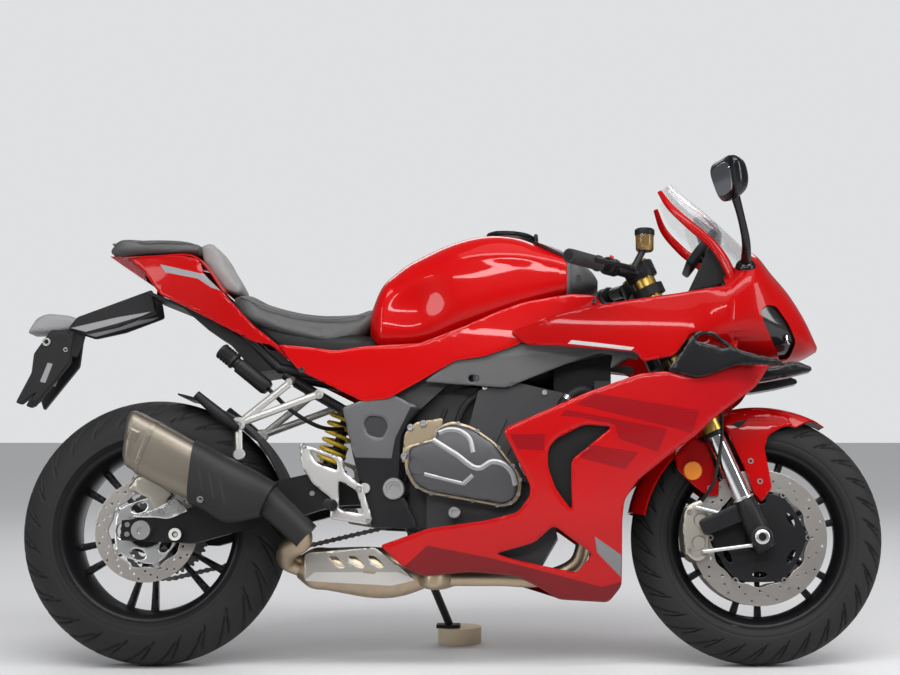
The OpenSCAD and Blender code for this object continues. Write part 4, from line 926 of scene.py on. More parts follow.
for side in (-1, 1):
    lathe(bm, [(0, 134), (17, 134), (17, 138.5), (15, 140), (9, 140), (9, 136), (0, 136)], FRONT_HUB,
          (0, side, 0), 36)
    lathe(bm, [(21.8, 97), (26.2, 97), (26.2, 101), (21.8, 102)], on_fork(0, side * FORK_Y, 0), FORK_WAY, 36)
    for pin in ([(1284, side * 104, 371), (1384, side * 106, 344)],
                [(1300, side * 104, 267), (1424, side * 106, 283)]):
        tube(bm, pin, 5.0, 14)
make_piece("axle_ends", bm, bright_metal, "steering")

# Front brakes. Four-piston calipers, forged and machined, bolted on the fork feet and fed by rubber
# hoses that run down the legs.
CALIPER = [(1258, 372), (1280, 384), (1300, 390), (1318, 340), (1312, 255), (1285, 240), (1258, 262),
           (1252, 320)]
bm, hoses = bmesh.new(), bmesh.new()
for side in (-1, 1):
    panel(bm, CALIPER, level(92), 17.0, 7.0, side=side, round_to=12.0, grid=10.0)
    panel(bm, CALIPER, level(62), 12.0, 3.0, side=side, round_to=12.0, grid=16.0)
    panel(bm, [(1258, 372), (1274, 380), (1266, 330), (1264, 300), (1270, 252), (1258, 262), (1252, 320)],
          level(88), 36.0, 4.0, side=side, round_to=4.0)
    for x, z in ((1291, 288), (1296, 340)):
        lathe(bm, [(0, 88), (17, 88), (17, 93), (14, 96), (0, 96)], (x, 0, z), (0, side, 0), 28)
    tube(hoses, [on_fork(30, side * 60, 520), on_fork(36, side * 100, 420), on_fork(34, side * 116, 300),
                 on_fork(-20, side * 124, 200), (1322, side * 112, 420), (1298, side * 84, 384)], 4.2, 10)
make_piece("front_calipers", bm, caliper_metal, "steering", ["front_calipers"])
make_piece("brake_hoses", hoses, hose_rubber, "steering")
bolts("caliper_bolts", "steering",
      both_sides([(x, 92.5, z, 6.0) for x, z in ((1304, 374), (1270, 360), (1304, 262), (1270, 270))]),
      bolt_steel)

# Bars and controls. Clip-on bars with ribbed rubber grips, black switch housings and levers,
# and a translucent fluid cup with a black lid on the right.
BAR_IN, BAR_OUT = np.array([1122.0, 138.0, 925.0]), np.array([985.0, 352.0, 920.0])
BAR_L = float(np.linalg.norm(BAR_OUT - BAR_IN))
CUP_AT = (1164, -178, 964)
grip_rubber = finish("grip_rubber", (0.012, 0.012, 0.012), (0.024, 0.024, 0.024), 0.62, 0.15, scale=1200.0,
                     relief=0.4)
fluid_amber = finish("fluid_amber", (0.25, 0.14, 0.03), (0.18, 0.09, 0.02), 0.2, 0.1, relief=0.02,
                     shader=[("Transmission Weight", 0.55), ("Coat Weight", 0.5)])
stop_red = finish("stop_red", (0.60, 0.01, 0.01), (0.48, 0.01, 0.01), 0.35)
bm, grips, controls, cup, button = (bmesh.new() for _ in range(5))
for side in (-1, 1):
    flip = np.array([1, side, 1])
    start, end = BAR_IN * flip, BAR_OUT * flip
    way = (end - start) / BAR_L
    tube(bm, [start - 8 * way, end - way], 11, 24)
    lathe(bm, [(27.2, 668), (36, 668), (37.5, 671), (37.5, 703), (36, 706), (27.2, 706)],
          on_fork(0, side * FORK_Y, 0), FORK_WAY, 40)
    tube(bm, [on_fork(-14, side * 128, 687), start + 6 * way], [17, 16], 20)
    tube(bm, [start - 6 * way, start + 40 * way], 16, 24)
    ribs = [(16.6 - 1.3 * (k % 2), BAR_L - 122 + 3.4 * k) for k in range(34)]
    lathe(grips, [(11, BAR_L - 128), (19, BAR_L - 128), (19, BAR_L - 124)] + ribs
          + [(16, BAR_L - 3), (8, BAR_L - 2)], start, way, 28)
    lathe(controls, [(11.5, 52), (19, 52), (21, 55), (21, 70), (20, 72), (21, 74), (21, 89), (19, 92),
                     (11.5, 92)], start, way, 28)
    root = start + 70 * way
    tube(controls, [root + [20, 0, -6], root + [58, 0, -9]], 10, 16)
    lever = [start + 66 * way + [54, 0, -6], start + 130 * way + [66, 0, -8], start + 190 * way + [62, 0, -8],
             end + [62, -side * 12, -8]]
    tube(controls, lever, [7.5, 6.5, 5.5, 6.5], 12, 0.75)
    lathe(button, [(0, 18), (5, 18), (5, 25), (4, 26), (0, 26)], start + 82 * way, (0.35, 0, 0.94), 16)
cup_foot = BAR_IN * [1, -1, 1] + 70 * (BAR_OUT - BAR_IN) / BAR_L * [1, -1, 1] + [50, 0, -9]
tube(controls, [cup_foot, (1162, -180, 970)], 8, 16)
lathe(controls, [(0, 38), (23, 38), (23.5, 40), (23.5, 50), (21, 53), (0, 53)], CUP_AT, (0, 0, 1), 32)
lathe(cup, [(0, 0), (18, 0), (21, 4), (21.5, 38), (0, 38)], CUP_AT, (0, 0, 1), 32)
make_piece("handlebars", bm, satin_black, "steering", ["handlebars"])
make_piece("grips", grips, grip_rubber, "steering")
make_piece("controls", controls, satin_black, "steering", ["controls"])
make_piece("fluid_cup", cup, fluid_amber, "steering")
make_piece("switch_buttons", button, stop_red, "steering")

# Front mudguard. Injection-moulded and painted: a swept crown with side stays bolted on the fork
# feet, and an amber reflector on each side.
race_red = finish("race_red", (0.40, 0.0015, 0.002), (0.32, 0.001, 0.0015), 0.27, 0.05, scale=2400.0,
                  relief=0.02, specular=0.05, coat=0.5, shader=[("Coat IOR", 1.38), ("Coat Roughness", 0.04)])
amber_lens = finish("amber_lens", (0.95, 0.30, 0.03), (0.80, 0.20, 0.02), 0.16, 0.05, scale=1800.0,
                    relief=0.3, coat=0.6)


def shell(bm, outer, inner, lining=0):
    """Thin wall between two grids of points; the inside takes the material number `lining`."""
    rows, columns = outer.shape[:2]
    top = [[bm.verts.new(p) for p in row] for row in outer]
    low = [[bm.verts.new(p) for p in row] for row in inner]
    for i in range(rows - 1):
        for k in range(columns - 1):
            bm.faces.new([top[i][k], top[i + 1][k], top[i + 1][k + 1], top[i][k + 1]])
            bm.faces.new([low[i][k], low[i][k + 1], low[i + 1][k + 1], low[i + 1][k]]).material_index = lining
    rim = [(0, k) for k in range(columns - 1)] + [(i, columns - 1) for i in range(rows - 1)]
    rim += [(rows - 1, k) for k in range(columns - 1, 0, -1)] + [(i, 0) for i in range(rows - 1, 0, -1)]
    for (a, b), (c, d) in zip(rim, rim[1:] + rim[:1]):
        bm.faces.new([top[a][b], top[c][d], low[c][d], low[a][b]])


bm = bmesh.new()
phi = np.radians(np.linspace(58.5, 169, 90))
reach = np.clip(((np.degrees(phi) - 56) / 15.0), 0.3, 1.0) ** 0.7
spread = np.linspace(-1, 1, 41)
part = np.abs(spread)[None, :] * reach[:, None]
crown_y = np.sign(spread)[None, :] * curve([0, 0.38, 0.72, 1.0], [0, 32, 61, 77],
                                           part.ravel()).reshape(part.shape)
crown_r = curve([0, 0.38, 0.72, 1.0], [313, 311.5, 306, 277], part.ravel()).reshape(part.shape)
crown_walls = [np.stack([FRONT_AXLE[0] + (crown_r - t) * np.cos(phi)[:, None], crown_y * (1 - t * 0.012),
                         FRONT_AXLE[1] + (crown_r - t) * np.sin(phi)[:, None]], axis=2) for t in (0.0, 3.6)]
shell(bm, *crown_walls, lining=1)
STAY = [(1352, 566), (1372, 598), (1440, 606), (1500, 588), (1520, 566), (1490, 560), (1459, 541),
        (1449, 513), (1466, 418), (1440, 382), (1421, 405), (1403, 459), (1373, 522)]
LOW_STAY = [(1236, 492), (1278, 537), (1315, 523), (1341, 430), (1340, 396), (1313, 398), (1282, 421),
            (1243, 458)]
STAY_INSERT = [(1369, 568), (1413, 581), (1390, 557)]


def stay_depth(x, z):
    return curve([370, 500, 545, 580, 612], [83, 83, 81, 76, 64], z)


for side in (-1, 1):
    panel(bm, STAY, stay_depth, 4.0, 3.0, side=side, round_to=8.0, grid=12.0, zones=[(STAY_INSERT, 1)])
    panel(bm, LOW_STAY, level(81), 4.0, 3.0, side=side, round_to=8.0, grid=14.0)
make_piece("front_fender", bm, [race_red, moulded_black], "steering", ["front_fender"])
bm = bmesh.new()
for side in (-1, 1):
    lathe(bm, [(0, 80), (22, 80), (22, 86), (20, 88), (0, 89)], (1279, 0, 457), (0, side, 0), 36)
make_piece("reflectors", bm, amber_lens, "steering")
bolts("fender_bolts", "steering",
      both_sides([(1416, 83.2, 480, 7.0), (1437, 83.2, 432, 7.0)]) + both_sides([(1318, 81.2, 416, 6.0)]),
      bolt_steel)

# Fuel tank and filler. Pressed steel under a deep red lacquer, drawn in at the knees, with a dark
# front cover; the cap is machined, bolted round its rim and hinged in front.
TANK = [(512, 70, 762, 850, 0.8), (530, 100, 734, 893, 0.75), (575, 114, 724, 943, 0.75),
        (640, 124, 732, 982, 0.7), (720, 138, 756, 1014, 0.65), (800, 146, 782, 1027, 0.62),
        (870, 148, 808, 1019, 0.62), (930, 145, 834, 995, 0.62), (960, 143, 846, 984, 0.63),
        (988, 139, 858, 966, 0.65), (1002, 116, 872, 944, 0.7)]
TANK_COVER = [(936, 148, 836, 1003, 0.62), (992, 143, 863, 973, 0.65), (1030, 118, 880, 950, 0.7),
              (1050, 86, 888, 930, 0.78), (1056, 66, 893, 921, 0.8)]
CAP_AT, CAP_TILT = np.array([842.0, 0.0, 1016.0]), math.radians(3)
CAP_WAY = np.array([math.sin(CAP_TILT), 0.0, math.cos(CAP_TILT)])
CAP_ACROSS = np.array([math.cos(CAP_TILT), 0.0, -math.sin(CAP_TILT)])


def loft(bm, table, stations=48, around=80, shape=None, place=None, caps=True):
    """Closed body through superellipse rings: x, half width, bottom, top, roundness."""
    table = np.array(table, float)
    at = np.interp(np.linspace(0, len(table) - 1, stations), np.arange(len(table)), table[:, 0])
    half, low, high, e = (curve(table[:, 0], table[:, k], at)[:, None] for k in (1, 2, 3, 4))
    turn = np.arange(around) * 2 * math.pi / around
    c, s = np.cos(turn)[None, :], np.sin(turn)[None, :]
    x = np.broadcast_to(at[:, None], (stations, around)).copy()
    y = half * np.sign(c) * np.abs(c) ** e
    z = (low + high) / 2 + (high - low) / 2 * np.sign(s) * np.abs(s) ** e
    if shape:
        x, y, z = shape(x, y, z)
    points = np.stack([x, y, z], axis=2)
    if place is not None:
        points = points @ np.array(place.to_3x3()).T + np.array(place.translation)
    rings = [[bm.verts.new(p) for p in row] for row in points]
    for one, two in zip(rings, rings[1:]):
        for k in range(around):
            bm.faces.new([one[k], two[k], two[(k + 1) % around], one[(k + 1) % around]])
    if caps:
        for ring in (rings[0], list(reversed(rings[-1]))):
            middle = bm.verts.new(np.mean([v.co[:] for v in ring], axis=0))
            for k in range(around):
                bm.faces.new([ring[k], ring[(k + 1) % around], middle])


def knees(x, y, z):
    """Draws the tank in at the knees and raises a soft crease along its shoulder."""
    hollow = np.exp(-((x - 615) / 75) ** 2) * np.exp(-((z - 842) / 62) ** 2)
    crease = np.exp(-((z - 965 + 0.00035 * (x - 800) ** 2) / 16) ** 2) * np.clip((x - 600) / 120, 0, 1)
    return x, y * (1 - 0.15 * hollow + 0.022 * crease), z


def sweep_back(x, y, z):
    """Draws the cover's rear edge back along the top and forward down the sides."""
    share, top = np.clip((992 - x) / 56, 0, 1), np.clip((z - 960) / 36, 0, 1)
    return x + share * (46 - 78 * top), y * (1 - 0.03 * share * (1 - top)), z + 9 * share * top


tank_red = finish("tank_red", (0.49, 0.0015, 0.002), (0.40, 0.001, 0.0015), 0.24, 0.05, scale=2400.0,
                  relief=0.02, specular=0.05, coat=0.6, shader=[("Coat IOR", 1.40), ("Coat Roughness", 0.03)])
cover_satin = finish("cover_satin", (0.075, 0.075, 0.077), (0.110, 0.110, 0.113), 0.34, 0.14, relief=0.25,
                     specular=0.35)
bm = bmesh.new()
loft(bm, TANK, 72, 120, knees)
make_piece("fuel_tank", bm, tank_red, "chassis", ["fuel_tank"], sharp=50.0)
bm = bmesh.new()
lathe(bm, [(60, -8), (62, -8), (62, 10), (60, 13), (56, 14), (22, 14), (22, -8)], CAP_AT, CAP_WAY, 56)
hinge = CAP_AT + 63.5 * CAP_ACROSS + 19 * CAP_WAY
for side in (-1, 1):
    tube(bm, [hinge + [0, side * 20, 0], hinge + [0, side * 32, 0]], 5.0, 16)
    tube(bm, [hinge + [0, side * 26, 0], hinge + [0, side * 26, 0] - 16 * CAP_WAY], 4.5, 12)
make_piece("filler_neck", bm, satin_black, "chassis")
bm = bmesh.new()
lathe(bm, [(0, 14.4), (56, 14.4), (58, 16), (58, 21), (56, 23.4), (42, 23.4), (40, 26), (12, 26.4),
           (10, 24.5), (0, 24.5)], CAP_AT, CAP_WAY, 56)
tube(bm, [hinge + [0, -17.5, 0], hinge + [0, 17.5, 0]], 5.0, 16)
tube(bm, [hinge, hinge - 8 * CAP_ACROSS], 6.0, 12)
make_piece("filler_cap", bm, satin_black, "filler_lid", ["filler_cap"])
bolts("filler_bolts", "filler_lid",
      [(CAP_AT + 23.6 * CAP_WAY + 49 * (math.cos(a) * CAP_ACROSS + math.sin(a) * np.array([0, 1, 0])),
        CAP_WAY, 4.0)
       for a in np.arange(7) * 2 * math.pi / 7 + 0.45], bolt_steel)
bm = bmesh.new()
loft(bm, TANK_COVER, 30, 96, sweep_back)
make_piece("tank_cover", bm, cover_satin, "chassis", ["tank_cover"], sharp=50.0)

# Airbox. A black moulded plastic box, held between the frame spars, that fills the room above the
# engine and under the tank.
AIRBOX = [(596, 60, 640, 740, 0.7), (640, 82, 600, 770, 0.6), (780, 84, 640, 792, 0.6),
          (930, 84, 650, 806, 0.6), (1000, 60, 680, 800, 0.7)]
bm = bmesh.new()
loft(bm, AIRBOX, 24, 56)
make_piece("airbox", bm, moulded_black, "chassis", sharp=50.0)

# Side panels and frame covers. Moulded panels between tank and seat, red above and satin grey
# below, each held by single screws.
SIDE = [(300, 752), (351, 690), (506, 614), (566, 621), (649, 667), (723, 709), (786, 717), (873, 747),
        (889, 765), (956, 800), (1027, 822), (1070, 838), (1044, 866), (990, 868), (931, 858), (876, 847),
        (813, 823), (742, 791), (638, 751), (505, 745), (440, 735), (369, 745)]
FRAME_COVER = [(648, 660), (839, 646), (873, 659), (973, 699), (1059, 728), (1150, 712), (1150, 735),
               (872, 752), (722, 716)]
COVER_STRIP = [(722, 714), (872, 750), (1148, 733), (1148, 722), (1056, 736), (872, 722)]


def table_surface(xs, zs, ys):
    return lambda x, z: curve(zs, np.stack([curve(xs, row, x) for row in ys]), z)


cover_pale = finish("cover_pale", (0.085, 0.085, 0.088), (0.12, 0.12, 0.123), 0.34, 0.12, relief=0.2)
side_skin = table_surface([280, 420, 560, 720, 880, 1090], [600, 680, 760, 890],
                          [[126, 140, 148, 156, 165, 170], [126, 138, 148, 160, 168, 172],
                           [130, 142, 150, 160, 166, 168], [122, 136, 140, 150, 154, 150]])
bm, covers = bmesh.new(), bmesh.new()
for side in (-1, 1):
    panel(bm, SIDE, side_skin, 4.0, 4.0, side=side, round_to=10.0, grid=14.0)
    panel(covers, FRAME_COVER, lambda x, z: 151 + 2.0 * np.sin((x - 640) / 170), 4.0, 3.0, side=side,
          round_to=9.0, grid=16.0, holes=[ring_of((760, 668), 8, 20)], zones=[(COVER_STRIP, 1)])
make_piece("side_panels", bm, tank_red, "chassis", ["side_panels"])
make_piece("frame_covers", covers, [cover_satin, cover_pale], "chassis", ["frame_covers"])
bolts("panel_screws", "chassis",
      [((x, side * y, z), (0, side, 0), r) for side in (-1, 1) for x, y, z, r in
       ((360, 134.5, 690, 7.0), (771, 151.5, 669, 7.5), (1010, 137.0, 911, 6.5), (603, 142.0, 290, 7.0),
        (1046, 169.0, 848, 5.5))
       if side < 0 or x != 603], frame_grey)

# Seats. Foam pads under stretched grey vinyl: a long rider's seat, a perch for the passenger and
# a lighter grey pad against the tail.
RIDER = [(183, 62, 848, 880, 0.7), (205, 92, 820, 879, 0.6), (270, 118, 790, 850, 0.55),
         (350, 122, 764, 829, 0.55), (430, 112, 751, 824, 0.55), (482, 88, 768, 834, 0.6),
         (520, 62, 806, 852, 0.7)]
PILLION = [(-122, 50, 984, 994, 0.7), (-106, 82, 978, 1004, 0.55), (-20, 100, 976, 1009, 0.5),
           (60, 96, 976, 1008, 0.5), (100, 84, 978, 1004, 0.6)]
BACKSTOP = [(93, 1002), (122, 1012), (144, 990), (166, 946), (201, 896), (190, 882), (158, 893), (104, 964)]
vinyl = finish("vinyl", (0.056, 0.055, 0.056), (0.110, 0.108, 0.110), 0.52, 0.16, scale=1900.0, relief=0.55,
               depth=0.0006)
pale_vinyl = finish("pale_vinyl", (0.24, 0.235, 0.23), (0.19, 0.186, 0.182), 0.5, 0.14, scale=1900.0,
                    relief=0.5, depth=0.0006)
CLOTH_STEPS, PAD_VOXEL = 20, 0.0055
thread = finish("thread", (0.10, 0.10, 0.10), (0.16, 0.16, 0.16), 0.7)


def upholster(name, bm, material, node, swell):
    """Remeshes a pad, inflates it as cloth with its underside pinned and keeps up to `swell` of the rise."""
    bmesh.ops.recalc_face_normals(bm, faces=bm.faces)
    mesh = bpy.data.meshes.new(name)
    bm.to_mesh(mesh)
    bm.free()
    mesh.transform(PARKED)
    pad = bpy.data.objects.new(name, mesh)
    scene.collection.objects.link(pad)
    remesh = pad.modifiers.new("remesh", "REMESH")
    remesh.mode, remesh.voxel_size, remesh.use_smooth_shade = "VOXEL", PAD_VOXEL, True

    def baked():
        result = bpy.data.meshes.new_from_object(pad.evaluated_get(bpy.context.evaluated_depsgraph_get()))
        pad.modifiers.clear()
        pad.data = result
        return result

    bpy.context.view_layer.update()
    mesh = baked()
    start = np.array([v.co[:] for v in mesh.vertices])
    pin = pad.vertex_groups.new(name="underside")
    pin.add([v.index for v in mesh.vertices if v.normal.z < -0.25], 1.0, "REPLACE")
    cloth = pad.modifiers.new("cloth", "CLOTH")
    cloth.settings.quality = 4
    cloth.settings.mass = 0.3
    cloth.settings.tension_stiffness = cloth.settings.compression_stiffness = 18.0
    cloth.settings.shear_stiffness, cloth.settings.bending_stiffness = 8.0, 0.8
    cloth.settings.use_pressure, cloth.settings.uniform_pressure_force = True, 4.0
    cloth.settings.effector_weights.gravity = 0.0
    cloth.settings.vertex_group_mass = "underside"
    cloth.collision_settings.use_collision = False
    cloth.point_cache.frame_start, cloth.point_cache.frame_end = 1, CLOTH_STEPS
    for step in range(1, CLOTH_STEPS + 1):
        scene.frame_set(step)
    mesh = baked()
    scene.frame_set(1)
    moved = np.array([v.co[:] for v in mesh.vertices]) - start
    far = np.linalg.norm(moved, axis=1)
    kept = start + moved * np.minimum(1.0, swell / np.maximum(far, 1e-9))[:, None]
    mesh.vertices.foreach_set("co", kept.ravel())
    pad.vertex_groups.clear()
    divide = pad.modifiers.new("divide", "SUBSURF")
    divide.levels = divide.render_levels = 1
    bpy.context.view_layer.update()
    mesh = baked()
    for face in mesh.polygons:
        face.use_smooth = True
    mesh.materials.clear()
    mesh.materials.append(material)
    mesh.name = name
    return settle(pad, "chassis", [node])


bm = bmesh.new()
loft(bm, RIDER, 40, 64)
upholster("rider_seat", bm, vinyl, "rider_seat", 0.007)
bm = bmesh.new()
loft(bm, PILLION, 36, 64)
upholster("pillion_seat", bm, vinyl, "pillion_seat", 0.006)
bm = bmesh.new()
for side in (-1, 1):
    panel(bm, BACKSTOP, level(57), 57.0, 9.0, side=side, round_to=10.0, grid=9.0)
bmesh.ops.remove_doubles(bm, verts=bm.verts, dist=0.05)
bmesh.ops.delete(bm, geom=[f for f in bm.faces if all(abs(v.co.y) < 0.1 for v in f.verts)],
                 context="FACES_ONLY")
upholster("backstop_pad", bm, pale_vinyl, "backstop_pad", 0.005)
bm = bmesh.new()
for table, lift in ((RIDER, 0.55), (PILLION, 0.35)):
    rows = np.array(table, float)[1:-1]
    line = []
    for side in (-1, 1):
        for x, half, low, high, e in (rows if side < 0 else rows[::-1]):
            wide = half * math.sqrt(1 - lift * lift) ** e + 5.5
            line.append((x, side * wide, (low + high) / 2 + (high - low) / 2 * lift ** e + 2.0))
    tube(bm, line + line[:1], 1.8, 8, steps=10)
make_piece("seat_piping", bm, thread, "chassis")
SEAT_BASE = [(196, 60, 806, 848, 0.7), (280, 104, 748, 806, 0.6), (400, 112, 700, 790, 0.55),
             (490, 104, 690, 786, 0.55), (524, 84, 700, 780, 0.6)]
bm = bmesh.new()
loft(bm, SEAT_BASE, 30, 48)
make_piece("seat_base", bm, moulded_black, "chassis", sharp=50.0)

# Tail. Red side mouldings with a grey insert over a black undertray, the red lamp at the end and
# the black plate hanger behind.
TAIL = [(-78, 972), (64, 971), (104, 962), (120, 922), (172, 872), (240, 800), (300, 752), (345, 700),
        (282, 752), (244, 758), (67, 850), (13, 875), (-33, 937)]
TAIL_INSERT = [(10, 950), (129, 920), (164, 881), (139, 889), (105, 912), (23, 930)]
# Pale grey for the tail insert and the hanger pod; the same grey also paints the highlight on the hanger arm.
insert_grey_and_highlight = finish("insert_grey_and_highlight", (0.20, 0.20, 0.21), (0.28, 0.28, 0.29), 0.4, 0.12, relief=0.2)
lamp_red = finish("lamp_red", (0.30, 0.004, 0.006), (0.20, 0.003, 0.004), 0.14, 0.06, scale=1200.0,
                  relief=0.3, coat=1.0)
tail_skin = table_surface([-90, 60, 200, 360], [690, 800, 900, 975],
                          [[60, 88, 108, 124], [70, 96, 118, 128], [80, 104, 124, 128], [74, 98, 112, 116]])
bm = bmesh.new()
for side in (-1, 1):
    panel(bm, TAIL, tail_skin, 4.0, 4.0, side=side, round_to=10.0, grid=12.0, zones=[(TAIL_INSERT, 1)])
along = np.linspace(0, 4, 40)
deck = np.stack([curve([0, 1, 2.0, 2.6, 4], [-78, 0, 84, 110, 168], along),
                 curve([0, 1, 2.0, 2.6, 4], [977, 979, 978, 962, 886], along)], axis=1)
across = np.linspace(-1, 1, 21)
width = np.interp(deck[:, 0], [-78, 60, 168], [76, 97, 116])
upper = np.stack([np.repeat(deck[:, :1], 21, 1), width[:, None] * across[None, :],
                  deck[:, 1:] - 6 * across[None, :] ** 4], axis=2)
shell(bm, upper, upper - [0, 0, 4.0])
make_piece("tail_cowl", bm, [race_red, insert_grey_and_highlight], "chassis", ["tail_cowl"])
dress(lamp_red, "tail_lamps")
dress(moulded_black, "undertray")
ARM = [(-20, 897), (-14, 872), (-8, 840), (-102, 804), (-175, 788), (-219, 802), (-198, 830)]
LEG = [(-299, 741), (-262, 796), (-205, 792), (-212, 719), (-294, 612), (-301, 633), (-289, 647),
       (-325, 618), (-338, 623), (-303, 695)]
POD = [(-324, 792), (-303, 830), (-276, 842), (-219, 837), (-190, 823), (-212, 800), (-266, 794)]
# Painted highlight: a pale grey strip along the black hanger arm stands in for the light reflected along its
# edge.
ARM_HIGHLIGHT = [(-212, 803), (-102, 829), (-20, 843), (-40, 833), (-102, 814), (-175, 794)]
LEG_STRIP = [(-281, 673), (-264, 719), (-252, 716), (-268, 670)]
bm, pod = bmesh.new(), bmesh.new()
for side in (-1, 1):
    panel(bm, ARM, level(47), 11.0, 3.0, side=side, round_to=6.0, zones=[(ARM_HIGHLIGHT, 1)])
    panel(bm, LEG, level(47), 16.0, 3.0, side=side, round_to=5.0, zones=[(LEG_STRIP, 1)])
    panel(pod, POD, level(36), 36.0, 12.0, side=side, round_to=12.0, grid=8.0)
panel(bm, [(-290, 750), (-262, 800), (-200, 800), (-214, 740)], level(40), 80.0, 4.0, round_to=5.0)
make_piece("plate_hanger", bm, [moulded_black, insert_grey_and_highlight], "chassis", ["plate_hanger"])
make_piece("hanger_pod", pod, insert_grey_and_highlight, "chassis")
bolts("hanger_screws", "chassis", both_sides([(-268, 47.4, 769, 10.0), (-222, 47.4, 750, 5.5)]), bolt_steel)

# Nose, headlamps and screen. A painted nose shell cut open for two dark lamp units, side mouldings
# behind it, and a clear bubble screen in a red edge band.
NOSE = [(1350, 212, 715, 925, 0.75), (1428, 186, 714, 985, 0.8), (1470, 160, 716, 938, 0.8),
        (1520, 122, 722, 880, 0.85), (1560, 78, 735, 815, 0.9), (1586, 24, 750, 766, 1.0)]
LAMP = [(1433, 825), (1451, 839), (1473, 837), (1504, 798), (1524, 761), (1514, 729), (1496, 714),
        (1467, 752), (1441, 797)]
UPPER = [(848, 774), (966, 815), (1026, 827), (1112, 840), (1240, 859), (1347, 880), (1388, 884),
         (1392, 800), (1376, 726), (1300, 762), (1269, 767), (1230, 712), (1155, 697), (1142, 720),
         (966, 737), (888, 743)]
SCREEN = [(1425, 992, 112), (1380, 1036, 134), (1322, 1090, 138), (1272, 1132, 122), (1238, 1164, 84)]
STRIPE = [(984, 742), (993, 750), (1137, 730), (1129, 723)]


def prism(points, y0, y1):
    """Closed body with a side-view outline, from y0 to y1."""
    bm = bmesh.new()
    near = [bm.verts.new((x, y0, z)) for x, z in points]
    far = [bm.verts.new((x, y1, z)) for x, z in points]
    bm.faces.new(near)
    bm.faces.new(list(reversed(far)))
    for k in range(len(points)):
        n = (k + 1) % len(points)
        bm.faces.new([near[n], near[k], far[k], far[n]])
    bmesh.ops.recalc_face_normals(bm, faces=bm.faces)
    return bm


def carve(bm, cutters, operation="DIFFERENCE", wall=0.0):
    """Thickens the surface inwards and cuts or trims it with closed bodies."""
    bmesh.ops.recalc_face_normals(bm, faces=bm.faces)
    made = []
    for shape in [bm] + cutters:
        mesh = bpy.data.meshes.new("carve")
        shape.to_mesh(mesh)
        shape.free()
        made.append(bpy.data.objects.new("carve", mesh))
        scene.collection.objects.link(made[-1])
    if wall:
        thicken = made[0].modifiers.new("wall", "SOLIDIFY")
        thicken.thickness, thicken.offset = wall, -1.0
    for cutter in made[1:]:
        cut = made[0].modifiers.new("cut", "BOOLEAN")
        cut.operation, cut.solver, cut.object = operation, "EXACT", cutter
    bpy.context.view_layer.update()
    mesh = bpy.data.meshes.new_from_object(made[0].evaluated_get(bpy.context.evaluated_depsgraph_get()))
    made[0].modifiers.clear()
    result = bmesh.new()
    result.from_mesh(mesh)
    for item in made:
        bpy.data.objects.remove(item)
    return result


def body_side(table, u, v):
    """Half width of a lofted body at station u and height v."""
    half, low, high, e = (curve([row[0] for row in table], [row[k] for row in table], u)
                          for k in (1, 2, 3, 4))
    s = np.clip(np.abs((v - (low + high) / 2) / ((high - low) / 2)), 0, 0.999) ** (1 / e)
    return half * np.sqrt(1 - s ** 2) ** e


def upper_skin(x, z):
    """Depth of the upper side moulding, led in to the nose at its front end."""
    flat, share = upper_table(x, z), np.clip((x - 1280) / 85, 0, 1)
    nose = body_side(NOSE, np.maximum(x, 1350), z) + 2.0 - 7.0 * np.clip((x - 1364) / 22, 0, 1)
    return flat + share * share * (3 - 2 * share) * (np.maximum(nose, flat - 34) - flat)


smooth_lamp = [tuple(p) for p in rounded(LAMP, 8.0, 30.0)]
bm = bmesh.new()
loft(bm, NOSE, 64, 112, caps=False)
front_ring = sorted(bm.verts, key=lambda v: -v.co.x)[:112]
bmesh.ops.contextual_create(bm, geom=front_ring)
screen_gap = prism([(1330, 1010), (1330, 900), (1400, 930), (1427, 1010)], -140, 140)
bm = carve(bm, [screen_gap, prism(smooth_lamp, 54, 260), prism(smooth_lamp, -260, -54)], wall=4.0)
upper_table = table_surface([840, 960, 1100, 1240, 1380], [690, 780, 850, 920],
                           [[170, 197, 222, 226, 205], [171, 202, 226, 228, 206], [170, 197, 218, 220, 200],
                            [168, 186, 200, 205, 190]])
stripe_grey = finish("stripe_grey", (0.50, 0.50, 0.50), (0.40, 0.40, 0.40), 0.35, 0.1)
for side in (-1, 1):
    panel(bm, UPPER, upper_skin, 4.0, 5.0, side=side, round_to=12.0, grid=14.0, zones=[(STRIPE, 1)])
    band = [(s[0] - 0.3 * s[2] - 8, side * (s[2] + 13), s[1] - 0.36 * s[2] - 8) for s in SCREEN[:0:-1]]
    tube(bm, band + [(1364, side * 165, 918), (1374, side * 196, 852)], [6, 9, 11, 12, 12, 9], 16, 0.55)
make_piece("nose_cowl", bm, [race_red, stripe_grey], "chassis", ["nose_cowl"], sharp=42.0)
lamp_glass = finish("lamp_glass", (0.010, 0.010, 0.011), (0.020, 0.020, 0.021), 0.10, 0.06, scale=300.0,
                    relief=0.02, specular=0.25, coat=0.45, shader=[("Coat Roughness", 0.05)])
lamp_chrome = finish("lamp_chrome", (0.55, 0.56, 0.58), (0.40, 0.41, 0.43), 0.16, 0.1, metal=1.0)
lamp_middle = np.array([1494, 787])
lens_line = [tuple(lamp_middle + 0.985 * (np.array(p) - lamp_middle)) for p in smooth_lamp]
LENS = [(x, half - 9, low + 9, high - 9, e) for x, half, low, high, e in NOSE[:-1]]
LENS.append((1574, 30, 755, 785, 1.0))
bm = bmesh.new()
for reach in ((-260, -54), (54, 260)):
    core = bmesh.new()
    loft(core, LENS, 48, 96)
    core = carve(core, [prism(lens_line, *reach)], "INTERSECT")
    kept = bpy.data.meshes.new("lamp_half")
    core.to_mesh(kept)
    core.free()
    bm.from_mesh(kept)
    bpy.data.meshes.remove(kept)
make_piece("headlamps", bm, lamp_glass, "chassis", ["headlamps"], sharp=30.0)
bm = bmesh.new()
